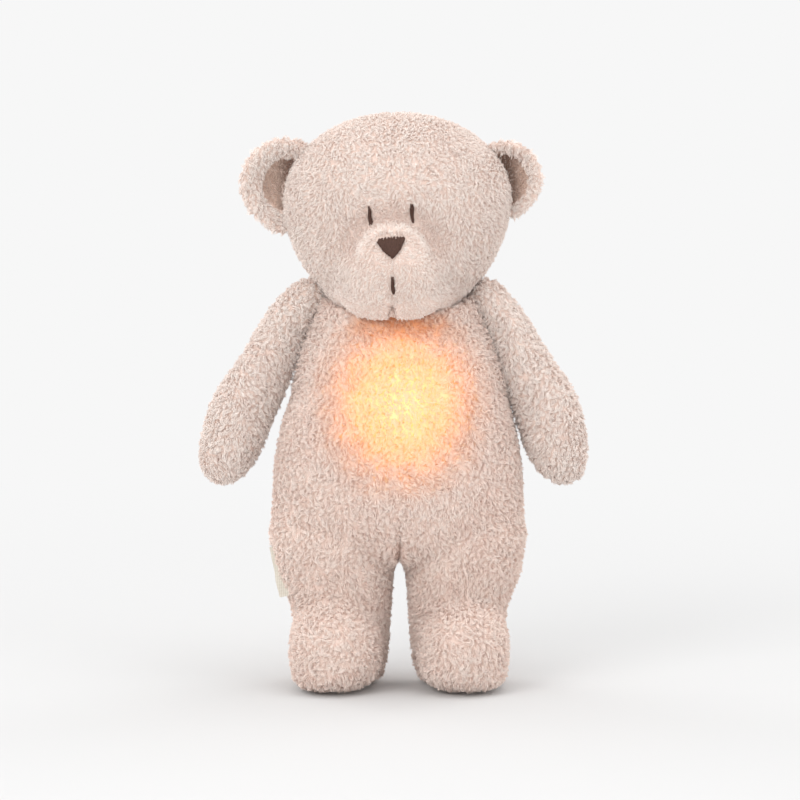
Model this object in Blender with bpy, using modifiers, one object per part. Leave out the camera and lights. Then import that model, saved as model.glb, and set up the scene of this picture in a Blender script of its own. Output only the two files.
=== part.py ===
# Stuffed bear night light.
# A standing plush bear whose light unit lies in a pocket behind the chest and comes out
# through a flap in the back. Metres, +Z up, the bear faces -Y, the floor is z = 0, and the
# origin lies between the feet. Viewed from the front, +X is on the right.

import bpy
import bmesh
import math
from mathutils import Matrix, Vector

# Driving sizes of the bear
body_centre_y = 0.008
gap = 0.0003
sole_flat = 0.0005

head_half_width = 0.0735
head_half_depth = 0.052
head_crown_height = 0.056
head_jaw_drop = 0.077
head_widest_z = 0.313

muzzle_reach = 0.0240
muzzle_half_width = 0.032
muzzle_above = 0.0385
muzzle_below = 0.038
muzzle_drop = 0.049
muzzle_tilt_deg = 24
face_shift_x = -0.0038

neck_radius = 0.027
neck_groove_radius = 0.0476
neck_groove_depth = 0.0185
neck_play = 0.0008
neck_top_z = 0.2595

torso_bottom_z = 0.074
torso_top_z = 0.2605
torso_half_width = 0.0823
torso_half_depth = 0.052
torso_squareness = 2.3

ear_radius = 0.0290
ear_thickness = 0.0075
ear_cup = 0.009
ear_out_x = 0.0725
ear_z = 0.3235
ear_back_y = 0.004
ear_lean_deg = 20

seam_top_x = 0.0470
seam_below_neck = 0.0085
seam_length = 0.0500
seam_lean_deg = 20.9
arm_length = 0.1385
arm_width = 0.0405
arm_depth = 0.0400
arm_above_seam = 0.0035

leg_half_width = 0.0390
leg_half_depth = 0.0440
leg_centre_x = 0.0410
leg_top_z = 0.130
foot_half_width = 0.0290
foot_half_length = 0.0440
foot_height = 0.0600
foot_centre_x = 0.0410
foot_centre_y = -0.0145

# Driving sizes of the face and of the label
eye_height = 0.0125
eye_width = 0.0026
eye_spacing = 0.0272
eye_drop = 0.0072
stitch_gap = 0.0005
thread_rise = 0.0012
nose_rise = 0.0022
nose_width = 0.0172
nose_height = 0.0122
nose_drop = 0.0270
mouth_height = 0.0105
mouth_width = 0.0027
mouth_drop = 0.0497
label_length = 0.033
label_width = 0.011
label_thickness = 0.0009
label_z = 0.0745
label_lean_deg = 13
label_turn_deg = 24
label_out_x = 0.0742

# Driving sizes of the pocket, of its flap and of the light unit
unit_centre_z = 0.183
unit_radius = 0.036
unit_play = 0.0005
chest_padding = 0.0080
liner_wall = 0.0008
seat_y = 0.046
flap_margin = 0.0040
flap_drop = 0.015
flap_rise = 0.006
flap_play = 0.0005
strip_length = 0.038
strip_height = 0.012
strip_thickness = 0.0014
strip_above_edge = 0.0065

dome_rise = 0.008
front_shell_depth = 0.018
rear_shell_depth = 0.022
shell_wall = 0.002
lens_wall = 0.0016
lens_hole_radius = 0.0275
lens_rim = 0.0030

board_thickness = 0.0015
led_size = 0.0035
led_rise = 0.0015
led_spread = 0.0120
led_board_setback = 0.0085
switch_body = 0.0060
switch_rise = 0.0032

cell_radius = 0.00515
cell_length = 0.0445
cell_pitch = 0.0108
cell_count = 3
cell_rise = 0.0066
contact_thickness = 0.0005
spring_length = 0.0028
spring_radius = 0.0026
spring_wire = 0.00028
spring_turns = 2.5
bay_wall = 0.0016
bay_depth = 0.0132
bay_play = 0.0004
door_thickness = 0.0017
tongue_width = 0.0060
tongue_thickness = 0.0012
tongue_reach = 0.0014
tongue_offset_x = 0.0140
tongue_play = 0.0006
door_screw_out_x = 0.0286
door_screw_up = 0.0080
door_ear_radius = 0.0036

speaker_radius = 0.0100
speaker_depth = 0.0075
speaker_drop = 0.0218
grille_slots = 5
grille_pitch = 0.0033
grille_slot_width = 0.0015

button_radius = 0.0038
button_out_x = 0.0205
button_drop = 0.0180
button_stand = 0.0015
button_flange = 0.0012
button_flange_thickness = 0.0012
button_travel = 0.0010
button_stem_radius = 0.0015

knob_width = 0.0045
knob_height = 0.0028
knob_stand = 0.0012
knob_travel = 0.0030
slide_body_length = 0.0120
slide_body_height = 0.0054
slide_body_depth = 0.0040

screw_radius = 0.0011
screw_head_radius = 0.0020
screw_head_depth = 0.0016
screw_bite = 0.0050
boss_wall = 0.0012
boss_ring_radius = 0.0318
case_screw_angles_deg = (-4, 184, -64, 244)

overrun = 0.010

# Shares of the sizes above
# Torso stations: height, half width and half depth, from the crotch to the neck
torso_station_shares = (
    (0.015, 0.34, 0.40),
    (0.045, 0.60, 0.66),
    (0.100, 0.82, 0.86),
    (0.190, 0.965, 0.985),
    (0.310, 0.990, 1.015),
    (0.430, 0.955, 1.005),
    (0.545, 0.900, 0.990),
    (0.650, 0.828, 0.955),
    (0.740, 0.756, 0.905),
    (0.815, 0.690, 0.840),
    (0.885, 0.620, 0.745),
    (0.940, 0.565, 0.640),
    (1.000, 0.420, 0.480),
)

# Arm stations: place along the arm, width, depth, distance of its inner edge from the seam, and pinch
arm_station_shares = (
    (0.007, 0.220, 0.28, 0.240, 0.00),
    (0.035, 0.370, 0.50, 0.070, 0.30),
    (0.084, 0.525, 0.66, 0.010, 0.60),
    (0.161, 0.640, 0.76, 0.000, 0.75),
    (0.266, 0.715, 0.82, 0.000, 0.75),
    (0.385, 0.790, 0.88, 0.000, 0.70),
    (0.490, 0.885, 0.94, 0.000, 0.60),
    (0.587, 0.980, 1.00, 0.010, 0.50),
    (0.692, 1.000, 1.00, 0.020, 0.35),
    (0.790, 0.930, 0.95, 0.045, 0.20),
    (0.870, 0.800, 0.84, 0.100, 0.10),
    (0.935, 0.580, 0.62, 0.220, 0.00),
    (0.982, 0.300, 0.32, 0.360, 0.00),
)

# Leg stations: height, half width, half depth and place of the centre across
leg_station_shares = (
    (-0.012, 0.52, 0.48, 0.96),
    (0.050, 0.68, 0.62, 0.94),
    (0.120, 0.76, 0.70, 0.93),
    (0.230, 0.775, 0.74, 0.915),
    (0.350, 0.790, 0.77, 0.91),
    (0.440, 0.835, 0.81, 0.93),
    (0.530, 0.925, 0.89, 0.99),
    (0.630, 0.985, 0.96, 1.00),
    (0.740, 0.990, 1.00, 1.00),
    (0.850, 0.900, 0.93, 0.98),
    (0.950, 0.600, 0.62, 0.94),
)

# How much narrower the jaw is than a plain oval, how sharply the muzzle starts, how much wider it
# is below, how much closer the points lie at the front and the jaw, the foot's fullness, and
# how far up the foot its toes stand out most
jaw_narrow_share = 0.02
muzzle_edge_share = 2.9
jowl_share = 0.55
front_crowding_share = 0.35
jaw_crowding_share = 0.13
foot_lift_share = 0.70
foot_toe_share = 0.40

# Size of each ear and how far out it stands: the right one is folded tighter
ear_size_shares = {-1: 1.0, 1: 0.90}
ear_out_shares = {-1: 1.0, 1: 0.95}

# Speaker: height and radius of its dish, its frame's back and its magnet
dish_floor_share = 0.72
dish_edge_share = 0.60
dish_radius_share = 0.32
frame_back_share = 0.78
magnet_radius_share = 0.62
magnet_height_share = 0.42

# Cell tip, cell shoulder, taper of a contact spring and reach of a screw's cross
cell_tip_share = 0.36
cell_shoulder_share = 0.97
spring_taper_share = 0.25
cross_reach_share = 0.62

# Neck groove: radius as a share from the neck to the rim, and height as a share of its depth
neck_groove_shares = ((0.00, 0.30), (0.14, 0.03), (0.42, 0.00), (0.72, 0.20), (1.00, 0.48))

loft_segments = 18
limb_segments = 12
leg_segments = 14
turn_segments = 32
small_turn_segments = 16
screw_segments = 12
spring_segments = 9
loft_swell_share = 1.014
limb_swell_share = 1.026

# Places worked out from the driving sizes
seam_top_z = neck_top_z - seam_below_neck
neck_axis = Vector((0, body_centre_y, 0))
torso_height = torso_top_z - torso_bottom_z
seam_lean = math.radians(seam_lean_deg)


def torso_section(z):
    """Half width and half depth of the torso at a height."""
    share = (z - torso_bottom_z) / torso_height
    stations = torso_station_shares
    for low, high in zip(stations, stations[1:]):
        if low[0] <= share <= high[0]:
            t = (share - low[0]) / (high[0] - low[0])
            width_share = low[1] + t * (high[1] - low[1])
            depth_share = low[2] + t * (high[2] - low[2])
            return torso_half_width * width_share, torso_half_depth * depth_share
    end = stations[0] if share < stations[0][0] else stations[-1]
    return torso_half_width * end[1], torso_half_depth * end[2]


chest_y = body_centre_y - torso_section(unit_centre_z)[1]
pocket_front_y = chest_y + chest_padding
liner_front_y = pocket_front_y + gap
unit_front_y = liner_front_y + liner_wall + unit_play
flange_y = unit_front_y + dome_rise
parting_y = flange_y + front_shell_depth
rear_start_y = parting_y + gap
rear_y = rear_start_y + rear_shell_depth
rear_wall_y = rear_y - shell_wall
liner_radius = unit_radius + unit_play
pocket_radius = liner_radius + liner_wall + gap
flap_radius = pocket_radius + flap_margin
flap_hinge_z = unit_centre_z + flap_rise + flap_radius + flap_play
flap_hinge_y = body_centre_y + torso_section(flap_hinge_z)[1] + flap_play
flap_inner_y = seat_y + gap

shell_bore = unit_radius - shell_wall
board_radius = shell_bore - gap
led_board_y = flange_y + led_board_setback
led_board_rear_y = led_board_y + board_thickness
main_board_rear_y = parting_y - gap - gap
main_board_y = main_board_rear_y - board_thickness

bay_half_length = cell_length / 2 + spring_length / 2 + contact_thickness + gap + gap
bay_half_height = cell_pitch * (cell_count - 1) / 2 + cell_radius + bay_play
bay_floor_y = rear_y - bay_depth
bay_z = unit_centre_z + cell_rise
cell_y = bay_floor_y + gap + cell_radius
door_inner_y = rear_y - door_thickness
door_half_width = bay_half_length - gap
door_half_height = bay_half_height - gap
door_top_z = bay_z + door_half_height
tongue_y = rear_wall_y - gap - tongue_thickness
boss_radius = screw_radius + gap + boss_wall
screw_hole_radius = screw_radius + gap
switch_top_y = main_board_rear_y + gap + switch_rise

# Scene, collections and materials
for old in list(bpy.data.objects):
    bpy.data.objects.remove(old, do_unlink=True)

parts = bpy.data.collections.new("plush_bear_night_light")
cutters = bpy.data.collections.new("cutters")
bpy.context.scene.collection.children.link(parts)
bpy.context.scene.collection.children.link(cutters)


def material(name, colour, roughness, metallic=0.0):
    """A plain Principled material."""
    made = bpy.data.materials.new(name)
    made.use_nodes = True
    shader = made.node_tree.nodes["Principled BSDF"]
    shader.inputs["Base Color"].default_value = (*colour, 1.0)
    shader.inputs["Roughness"].default_value = roughness
    shader.inputs["Metallic"].default_value = metallic
    return made


plush = material("plush", (0.73, 0.60, 0.53), 0.95)
plush_ear = material("plush_ear", (0.70, 0.56, 0.49), 0.95)
thread = material("thread", (0.075, 0.045, 0.035), 0.65)
woven = material("woven", (0.80, 0.76, 0.68), 0.85)
lining = material("lining", (0.78, 0.70, 0.62), 0.90)
hook_tape = material("hook_tape", (0.72, 0.64, 0.57), 0.80)
case_plastic = material("case_plastic", (0.83, 0.82, 0.79), 0.45)
lens_plastic = material("lens_plastic", (0.95, 0.86, 0.66), 0.35)
door_plastic = material("door_plastic", (0.80, 0.79, 0.76), 0.50)
button_rubber = material("button_rubber", (0.86, 0.62, 0.42), 0.60)
board_green = material("board_green", (0.05, 0.22, 0.11), 0.55)
led_white = material("led_white", (0.95, 0.90, 0.70), 0.30)
black_plastic = material("black_plastic", (0.03, 0.03, 0.03), 0.50)
cell_steel = material("cell_steel", (0.55, 0.56, 0.58), 0.35, 0.9)
contact_metal = material("contact_metal", (0.72, 0.70, 0.66), 0.30, 1.0)
screw_steel = material("screw_steel", (0.50, 0.50, 0.52), 0.35, 1.0)


# Helpers
def add_object(name, mesh, paint=None):
    """Puts a mesh into the model, or with no material among the cutters."""
    made = bpy.data.objects.new(name, mesh)
    if paint is None:
        cutters.objects.link(made)
        made.hide_render = True
        made.display_type = 'WIRE'
    else:
        parts.objects.link(made)
        mesh.materials.append(paint)
    return made


def mesh_from(name, build):
    """A mesh whose bmesh is filled by a function."""
    bm = bmesh.new()
    build(bm)
    bmesh.ops.recalc_face_normals(bm, faces=bm.faces)
    mesh = bpy.data.meshes.new(name)
    bm.to_mesh(mesh)
    bm.free()
    return mesh


def set_pivot(made, point):
    """Moves an object's origin to a point, with its mesh left where it is."""
    point = Vector(point)
    made.data.transform(Matrix.Translation(-point))
    made.location = point


def carry(made, parent):
    """Parents a piece to what carries it, with its place kept."""
    made.parent = parent
    made.matrix_parent_inverse = Matrix.Translation(-parent.location)


def cut(made, cutter, operation='DIFFERENCE'):
    """Cuts, joins or trims an object with another."""
    step = made.modifiers.new(cutter.name, 'BOOLEAN')
    step.operation = operation
    step.solver = 'EXACT'
    step.object = cutter
    return step


def round_ring(bm, centre, across, along, half_across, half_along, squareness, pinch, count):
    """One ring of a soft form: a superellipse round a centre, pinched towards +across."""
    ring = []
    for k in range(count):
        turn = 2 * math.pi * (k + 0.5) / count
        c = math.cos(turn)
        s = math.sin(turn)
        reach_across = math.copysign(abs(c) ** (2 / squareness), c) * half_across
        reach_along = math.copysign(abs(s) ** (2 / squareness), s) * half_along
        reach_along *= 1 - pinch * max(0.0, c)
        ring.append(bm.verts.new(centre + across * reach_across + along * reach_along))
    return ring


def loft(name, rings, count, paint=None, levels=1):
    """A soft form from a coarse cage of rings with closed ends, smoothed by subdivision."""
    def build(bm):
        made_rings = [round_ring(bm, *ring, count) for ring in rings]
        for low, high in zip(made_rings, made_rings[1:]):
            for k in range(count):
                after = (k + 1) % count
                bm.faces.new((low[k], low[after], high[after], high[k]))
        bm.faces.new(list(reversed(made_rings[0])))
        bm.faces.new(made_rings[-1])

    made = add_object(name, mesh_from(name, build), paint)
    step = made.modifiers.new("soft", 'SUBSURF')
    step.levels = levels
    step.render_levels = levels
    made.data.shade_smooth()
    return made


def grown_cutter(name, source, clearance):
    """A cutter with a soft form's own shape, larger by a clearance."""
    made = add_object(name, source.data.copy())
    made.matrix_world = source.matrix_world.copy()
    for step in source.modifiers:
        if step.type == 'SUBSURF':
            copy = made.modifiers.new(step.name, 'SUBSURF')
            copy.levels = step.levels
            copy.render_levels = step.levels
    swell = made.modifiers.new("clearance", 'DISPLACE')
    swell.direction = 'NORMAL'
    swell.mid_level = 0
    swell.strength = clearance
    return made


def box(name, low, high, paint=None, bevel=0.0):
    """A box between two corners, with small rounded edges where it has them."""
    low = Vector(low)
    high = Vector(high)

    def build(bm):
        bmesh.ops.create_cube(bm, size=1)
        size = high - low
        centre = (high + low) / 2
        bmesh.ops.transform(bm, verts=bm.verts, matrix=Matrix.Diagonal((*size, 1)))
        bmesh.ops.translate(bm, verts=bm.verts, vec=centre)

    made = add_object(name, mesh_from(name, build), paint)
    if bevel > 0:
        step = made.modifiers.new("edges", 'BEVEL')
        step.width = bevel
        step.segments = 1
    return made


def turned(name, profile, place, paint=None, steps=turn_segments, closed=False):
    """A turned piece whose axis runs to the rear: the profile is (radius, distance back)."""
    mesh = bpy.data.meshes.new(name)
    points = [(radius, 0, back) for radius, back in profile]
    edges = [(k, k + 1) for k in range(len(points) - 1)]
    if closed:
        edges.append((len(points) - 1, 0))
    mesh.from_pydata(points, edges, [])
    made = add_object(name, mesh, paint)
    made.location = place
    made.rotation_euler = (-math.pi / 2, 0, 0)
    add_screw(made, steps)
    return made


def add_screw(made, steps):
    """Turns a profile once round its own Z axis."""
    step = made.modifiers.new("turn", 'SCREW')
    step.axis = 'Z'
    step.angle = 2 * math.pi
    step.steps = steps
    step.render_steps = steps
    step.use_merge_vertices = True
    step.merge_threshold = 0.00001
    step.use_smooth_shade = True


def cylinder(name, centre, radius, back_from, back_to, paint=None, steps=small_turn_segments):
    """A plain turned cylinder from one depth to another, at a centre (x, z)."""
    depth = back_to - back_from
    profile = ((0, depth), (radius, depth), (radius, 0), (0, 0))
    return turned(name, profile, (centre[0], back_from, centre[1]), paint, steps)


def add_round(bm, centre, radius, back_from, back_to, steps=small_turn_segments):
    """Adds a closed cylinder that runs to the rear."""
    depth = back_to - back_from
    made = bmesh.ops.create_cone(
        bm, cap_ends=True, segments=steps, radius1=radius, radius2=radius, depth=depth)
    turn = Matrix.Rotation(math.pi / 2, 4, 'X')
    bmesh.ops.transform(bm, verts=made["verts"], matrix=turn)
    place = (centre[0], back_from + depth / 2, centre[1])
    bmesh.ops.translate(bm, verts=made["verts"], vec=place)


def add_block(bm, low, high):
    """Adds a closed box between two corners."""
    low = Vector(low)
    high = Vector(high)
    made = bmesh.ops.create_cube(bm, size=1)
    bmesh.ops.transform(bm, verts=made["verts"], matrix=Matrix.Diagonal((*(high - low), 1)))
    bmesh.ops.translate(bm, verts=made["verts"], vec=(high + low) / 2)


def grouped(name, build):
    """One cutter that holds several closed shapes clear of each other."""
    return add_object(name, mesh_from(name, build))


def prism(name, outline, back_from, back_to, paint=None):
    """An outline of (x, z) points, extruded from one depth to another."""
    def build(bm):
        verts = [bm.verts.new((x, back_from, z)) for x, z in outline]
        face = bm.faces.new(verts)
        grown = bmesh.ops.extrude_face_region(bm, geom=[face])
        moved = [item for item in grown["geom"] if isinstance(item, bmesh.types.BMVert)]
        bmesh.ops.translate(bm, verts=moved, vec=(0, back_to - back_from, 0))

    return add_object(name, mesh_from(name, build), paint)


def side_prism(name, outline, x_from, x_to):
    """An outline of (y, z) points, extruded across as a cutter or a joining piece."""
    def build(bm):
        verts = [bm.verts.new((x_from, y, z)) for y, z in outline]
        face = bm.faces.new(verts)
        grown = bmesh.ops.extrude_face_region(bm, geom=[face])
        moved = [item for item in grown["geom"] if isinstance(item, bmesh.types.BMVert)]
        bmesh.ops.translate(bm, verts=moved, vec=(x_to - x_from, 0, 0))

    return add_object(name, mesh_from(name, build))


def stadium(centre_x, top_z, bottom_z, radius, count=16):
    """The outline of two half circles joined by straight sides, one above the other."""
    points = []
    for k in range(count + 1):
        turn = math.pi * k / count
        points.append((centre_x + radius * math.cos(turn), top_z + radius * math.sin(turn)))
    for k in range(count + 1):
        turn = math.pi + math.pi * k / count
        points.append((centre_x + radius * math.cos(turn), bottom_z + radius * math.sin(turn)))
    return points


def mirrored_name(stem, side):
    """A node's name with its side: -1 is the viewer's left."""
    return stem + ("_left" if side < 0 else "_right")


# Torso
def make_torso():
    rings = []
    for height_share, width_share, depth_share in torso_station_shares:
        centre = Vector((0, body_centre_y, torso_bottom_z + torso_height * height_share))
        half_width = torso_half_width * width_share * loft_swell_share
        half_depth = torso_half_depth * depth_share * loft_swell_share
        across = Vector((1, 0, 0))
        along = Vector((0, 1, 0))
        rings.append((centre, across, along, half_width, half_depth, torso_squareness, 0))
    return loft("torso", rings, loft_segments, plush)


def groove_points(lift):
    """The neck groove's floor, from the neck out to the rim, raised by a clearance."""
    width = neck_groove_radius - neck_radius
    floor_z = neck_top_z - neck_groove_depth
    points = []
    for out_share, up_share in neck_groove_shares:
        radius = neck_radius + width * out_share
        points.append((radius, floor_z + neck_groove_depth * up_share + lift))
    return points


def make_upright_turned(name, profile, steps=turn_segments):
    """A turned cutter round the upright neck axis; the profile is (radius, z)."""
    mesh = bpy.data.meshes.new(name)
    points = [(radius, 0, z) for radius, z in profile]
    edges = [(k, (k + 1) % len(points)) for k in range(len(points))]
    mesh.from_pydata(points, edges, [])
    made = add_object(name, mesh)
    made.location = neck_axis
    add_screw(made, steps)
    return made


def make_neck_groove():
    """The ring above the shoulders in which the head turns."""
    floor = groove_points(0)
    rim_radius = neck_groove_radius + torso_half_width
    rim_z = floor[-1][1] + (rim_radius - neck_groove_radius)
    top_z = torso_top_z + torso_half_width
    profile = [(rim_radius, top_z), (rim_radius, rim_z)] + list(reversed(floor)) + [(neck_radius, top_z)]
    return make_upright_turned("neck_groove", profile)


def make_neck_socket():
    """The hollow under the head that holds the neck."""
    floor = groove_points(neck_play)
    hole_radius = neck_radius + neck_play
    wall = [(hole_radius, neck_top_z + neck_play)]
    steps = [(max(radius, hole_radius), z) for radius, z in floor]
    low_z = torso_bottom_z
    profile = [(0, neck_top_z + neck_play)] + wall + steps + [(neck_groove_radius, low_z), (0, low_z)]
    mesh = bpy.data.meshes.new("neck_socket")
    points = [(radius, 0, z) for radius, z in profile]
    edges = [(k, k + 1) for k in range(len(points) - 1)]
    mesh.from_pydata(points, edges, [])
    made = add_object("neck_socket", mesh)
    made.location = neck_axis
    add_screw(made, turn_segments)
    return made


# Head
def head_surface(x, y, z):
    """Moves a point of the unit ball to the head: crown, jaw and the muzzle that swells forward."""
    height = head_crown_height if z > 0 else head_jaw_drop
    middle_product = 1 / 4
    place = Vector((x * head_half_width, y * head_half_depth, z * height))
    if z < 0:
        place.x *= 1 + jaw_narrow_share * z * (1 + z) / middle_product
    if y < 0:
        up = place.z + muzzle_drop
        up /= muzzle_above if up > 0 else muzzle_below
        half_width = muzzle_half_width * (1 + jowl_share * min(1, max(0, -up)))
        across = (place.x - face_shift_x) / half_width
        swell = math.exp(-((across * across + up * up) ** muzzle_edge_share))
        tilt = math.radians(muzzle_tilt_deg)
        place.y -= muzzle_reach * swell * math.cos(tilt)
        place.z -= muzzle_reach * swell * math.sin(tilt)
    return place + Vector((0, body_centre_y, head_widest_z))


def crowded(x, y, z):
    """Moves a point over the unit ball so that more of its points lie on the face."""
    turn = math.atan2(y, x)
    turn -= front_crowding_share * math.cos(turn)
    fall = math.acos(max(-1, min(1, z)))
    fall += jaw_crowding_share * (math.sin(2 * fall - math.pi / 3) + math.sin(math.pi / 3))
    return math.sin(fall) * math.cos(turn), math.sin(fall) * math.sin(turn), math.cos(fall)


def make_head():
    def build(bm):
        bmesh.ops.create_uvsphere(bm, u_segments=36, v_segments=22, radius=1)
        for vert in bm.verts:
            vert.co = head_surface(*crowded(*vert.co))
        bmesh.ops.triangulate(bm, faces=bm.faces)

    made = add_object("head", mesh_from("head", build), plush)
    made.data.shade_smooth()
    return made


def make_ear(side):
    """A flattened ball, cupped forward and leaning out, that the head cuts at its root."""
    name = mirrored_name("ear", side)

    def build(bm):
        bmesh.ops.create_uvsphere(bm, u_segments=22, v_segments=12, radius=1)
        lean = Matrix.Rotation(side * math.radians(ear_lean_deg), 4, 'Y')
        radius = ear_radius * ear_size_shares[side]
        for vert in bm.verts:
            out = vert.co.x * vert.co.x + vert.co.y * vert.co.y
            place = Vector((vert.co.x * radius, vert.co.z * ear_thickness, vert.co.y * radius))
            place.y -= ear_cup * out
            vert.co = lean @ place
        centre_x = side * ear_out_x * ear_out_shares[side]
        centre_z = ear_z + ear_radius - radius
        bmesh.ops.translate(bm, verts=bm.verts, vec=(centre_x, ear_back_y + ear_cup, centre_z))

    made = add_object(name, mesh_from(name, build), plush_ear)
    made.data.shade_smooth()
    return made


# Limbs
def seam_point(side, along):
    """A point on the seam that an arm hangs from, measured down it."""
    x = seam_top_x + along * math.sin(seam_lean)
    z = seam_top_z - along * math.cos(seam_lean)
    return Vector((side * x, body_centre_y, z))


def make_arm(side):
    """An arm along its seam: pinched to the seam within, rounded and fuller towards the paw."""
    outward = Vector((side * math.cos(seam_lean), 0, math.sin(seam_lean)))
    depth_way = Vector((0, 1, 0))
    rings = []
    for place_share, width_share, depth_share, inner_share, pinch_share in arm_station_shares:
        half_width = arm_width / 2 * width_share * limb_swell_share
        half_depth = arm_depth / 2 * depth_share * limb_swell_share
        inner = gap + arm_width * inner_share
        start = seam_point(side, arm_length * place_share - arm_above_seam)
        centre = start + outward * (inner + arm_width * width_share / 2)
        rings.append((centre, -outward, depth_way, half_width, half_depth, 2, pinch_share))
    return loft(mirrored_name("arm", side), rings, limb_segments, plush)


def make_leg(side):
    name = mirrored_name("leg", side)
    across = Vector((1, 0, 0))
    along = Vector((0, 1, 0))
    rings = []
    for height_share, width_share, depth_share, centre_share in leg_station_shares:
        centre = Vector((side * leg_centre_x * centre_share, body_centre_y, leg_top_z * height_share))
        half_width = leg_half_width * width_share * limb_swell_share
        half_depth = leg_half_depth * depth_share * limb_swell_share
        rings.append((centre, across, along, half_width, half_depth, 2, 0))
    made = loft(name, rings, leg_segments, plush)
    cut(made, make_foot(side), 'UNION')
    cut(made, floor_cutter)
    return made


def make_foot(side):
    """The foot's own ball, flattened below, that is joined to its leg."""
    name = mirrored_name("foot_form", side)
    toe_z = foot_height * foot_toe_share

    def build(bm):
        bmesh.ops.create_uvsphere(bm, u_segments=18, v_segments=12, radius=1)
        for vert in bm.verts:
            lift = math.copysign(abs(vert.co.z) ** foot_lift_share, vert.co.z)
            x = side * foot_centre_x + vert.co.x * foot_half_width
            y = foot_centre_y + vert.co.y * foot_half_length
            z = toe_z - sole_flat + lift * (foot_height - toe_z if lift > 0 else toe_z)
            vert.co = (x, y, z)

    return add_object(name, mesh_from(name, build))


# Face
def make_stitched(name, outline, limit):
    """Raised stitching: an outline pushed through the face and trimmed to its curve."""
    front_y = body_centre_y - head_half_depth - muzzle_reach - overrun
    made = prism(name, outline, front_y, body_centre_y, thread)
    cut(made, limit, 'INTERSECT')
    cut(made, head_clearance)
    made.data.shade_smooth()
    return made


def round_bar(centre_x, centre_z, width, height, count=6):
    """An upright bar with round ends."""
    radius = width / 2
    straight = height / 2 - radius
    return stadium(centre_x, centre_z + straight, centre_z - straight, radius, count)


def nose_outline():
    """A triangle with rounded corners that stands on its point."""
    centre_z = head_widest_z - nose_drop
    corner = nose_height / 5
    corners = (
        (face_shift_x - nose_width / 2 + corner, centre_z + nose_height / 2 - corner),
        (face_shift_x, centre_z - nose_height / 2 + corner),
        (face_shift_x + nose_width / 2 - corner, centre_z + nose_height / 2 - corner),
    )
    starts = (math.pi / 2, math.pi + math.pi / 6, -math.pi / 6)
    sweeps = (math.pi * 2 / 3, math.pi * 2 / 3, math.pi * 2 / 3)
    points = []
    for (x, z), start, sweep in zip(corners, starts, sweeps):
        for k in range(5):
            turn = start + sweep * k / 4
            points.append((x + corner * math.cos(turn), z + corner * math.sin(turn)))
    return points


def make_face():
    """Two eyes, a nose and a mouth, all stitched on the head."""
    thin = grown_cutter("thread_limit", head, stitch_gap + thread_rise)
    thick = grown_cutter("nose_limit", head, stitch_gap + nose_rise)
    eye_z = head_widest_z - eye_drop
    mouth_z = head_widest_z - mouth_drop
    made = []
    for side in (-1, 1):
        centre_x = face_shift_x + side * eye_spacing / 2
        outline = round_bar(centre_x, eye_z, eye_width, eye_height)
        made.append(make_stitched(mirrored_name("eye", side), outline, thin))
    made.append(make_stitched("nose", nose_outline(), thick))
    made.append(make_stitched("mouth", round_bar(face_shift_x, mouth_z, mouth_width, mouth_height), thin))
    return made


def make_label():
    """The blank folded label, sewn in at the left hip and trimmed to the body."""
    half_length = label_length / 2
    low = (-label_width / 2, -label_thickness / 2, -half_length)
    high = (label_width / 2, label_thickness / 2, half_length)
    made = box("side_label", low, high, woven, label_thickness / 4)
    turn = Matrix.Rotation(math.radians(-label_turn_deg), 4, 'Z')
    lean = Matrix.Rotation(math.radians(-label_lean_deg), 4, 'Y')
    place = Vector((-label_out_x, body_centre_y - label_width, label_z))
    made.data.transform(turn @ lean)
    made.location = place
    return made


# Pocket, liner and flap
def make_pocket_cutters():
    centre = (0, unit_centre_z)
    far_y = body_centre_y + torso_half_depth + overrun
    pocket = cylinder("pocket_cutter", centre, pocket_radius, pocket_front_y, far_y, steps=turn_segments)
    high_z = unit_centre_z + flap_rise
    low_z = unit_centre_z - flap_drop
    outline = stadium(0, high_z, low_z, flap_radius + flap_play)
    seat = prism("seat_cutter", outline, seat_y, far_y)
    return pocket, seat


def strip_corners(front_y, thickness, clearance):
    """The corners of a fastener strip, or with a clearance of its recess."""
    low_z = unit_centre_z - flap_drop - flap_radius + strip_above_edge
    low = (-strip_length / 2 - clearance, front_y, low_z - clearance)
    high = (strip_length / 2 + clearance, front_y + thickness, low_z + strip_height + clearance)
    return low, high


def make_liner():
    inner = unit_radius + unit_play
    outer = inner + liner_wall
    depth = seat_y - gap - liner_front_y
    profile = ((0, liner_wall), (inner, liner_wall), (inner, depth), (outer, depth), (outer, 0), (0, 0))
    return turned("pocket_liner", profile, (0, liner_front_y, unit_centre_z), lining)


def make_flap(torso_form):
    """The padded flap: the slice of the torso's own back that lies over the seat."""
    made = add_object("back_flap", torso_form.data.copy(), plush)
    made.data.materials.clear()
    made.data.materials.append(plush)
    step = made.modifiers.new("soft", 'SUBSURF')
    step.levels = 1
    step.render_levels = 1
    far_y = body_centre_y + torso_half_depth + overrun
    outline = stadium(0, unit_centre_z + flap_rise, unit_centre_z - flap_drop, flap_radius)
    cut(made, prism("flap_form", outline, flap_inner_y, far_y), 'INTERSECT')
    recess = strip_corners(flap_inner_y - overrun, overrun + strip_thickness + gap, gap)
    cut(made, box("loop_recess", *recess))
    made.data.shade_smooth()
    set_pivot(made, (0, flap_hinge_y, flap_hinge_z))
    return made


def make_strips():
    hook = strip_corners(seat_y - strip_thickness, strip_thickness, 0)
    box("hook_strip", *hook, hook_tape)
    loop = box("loop_strip", *strip_corners(flap_inner_y, strip_thickness, 0), hook_tape)
    set_pivot(loop, (0, flap_hinge_y, flap_hinge_z))


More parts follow.
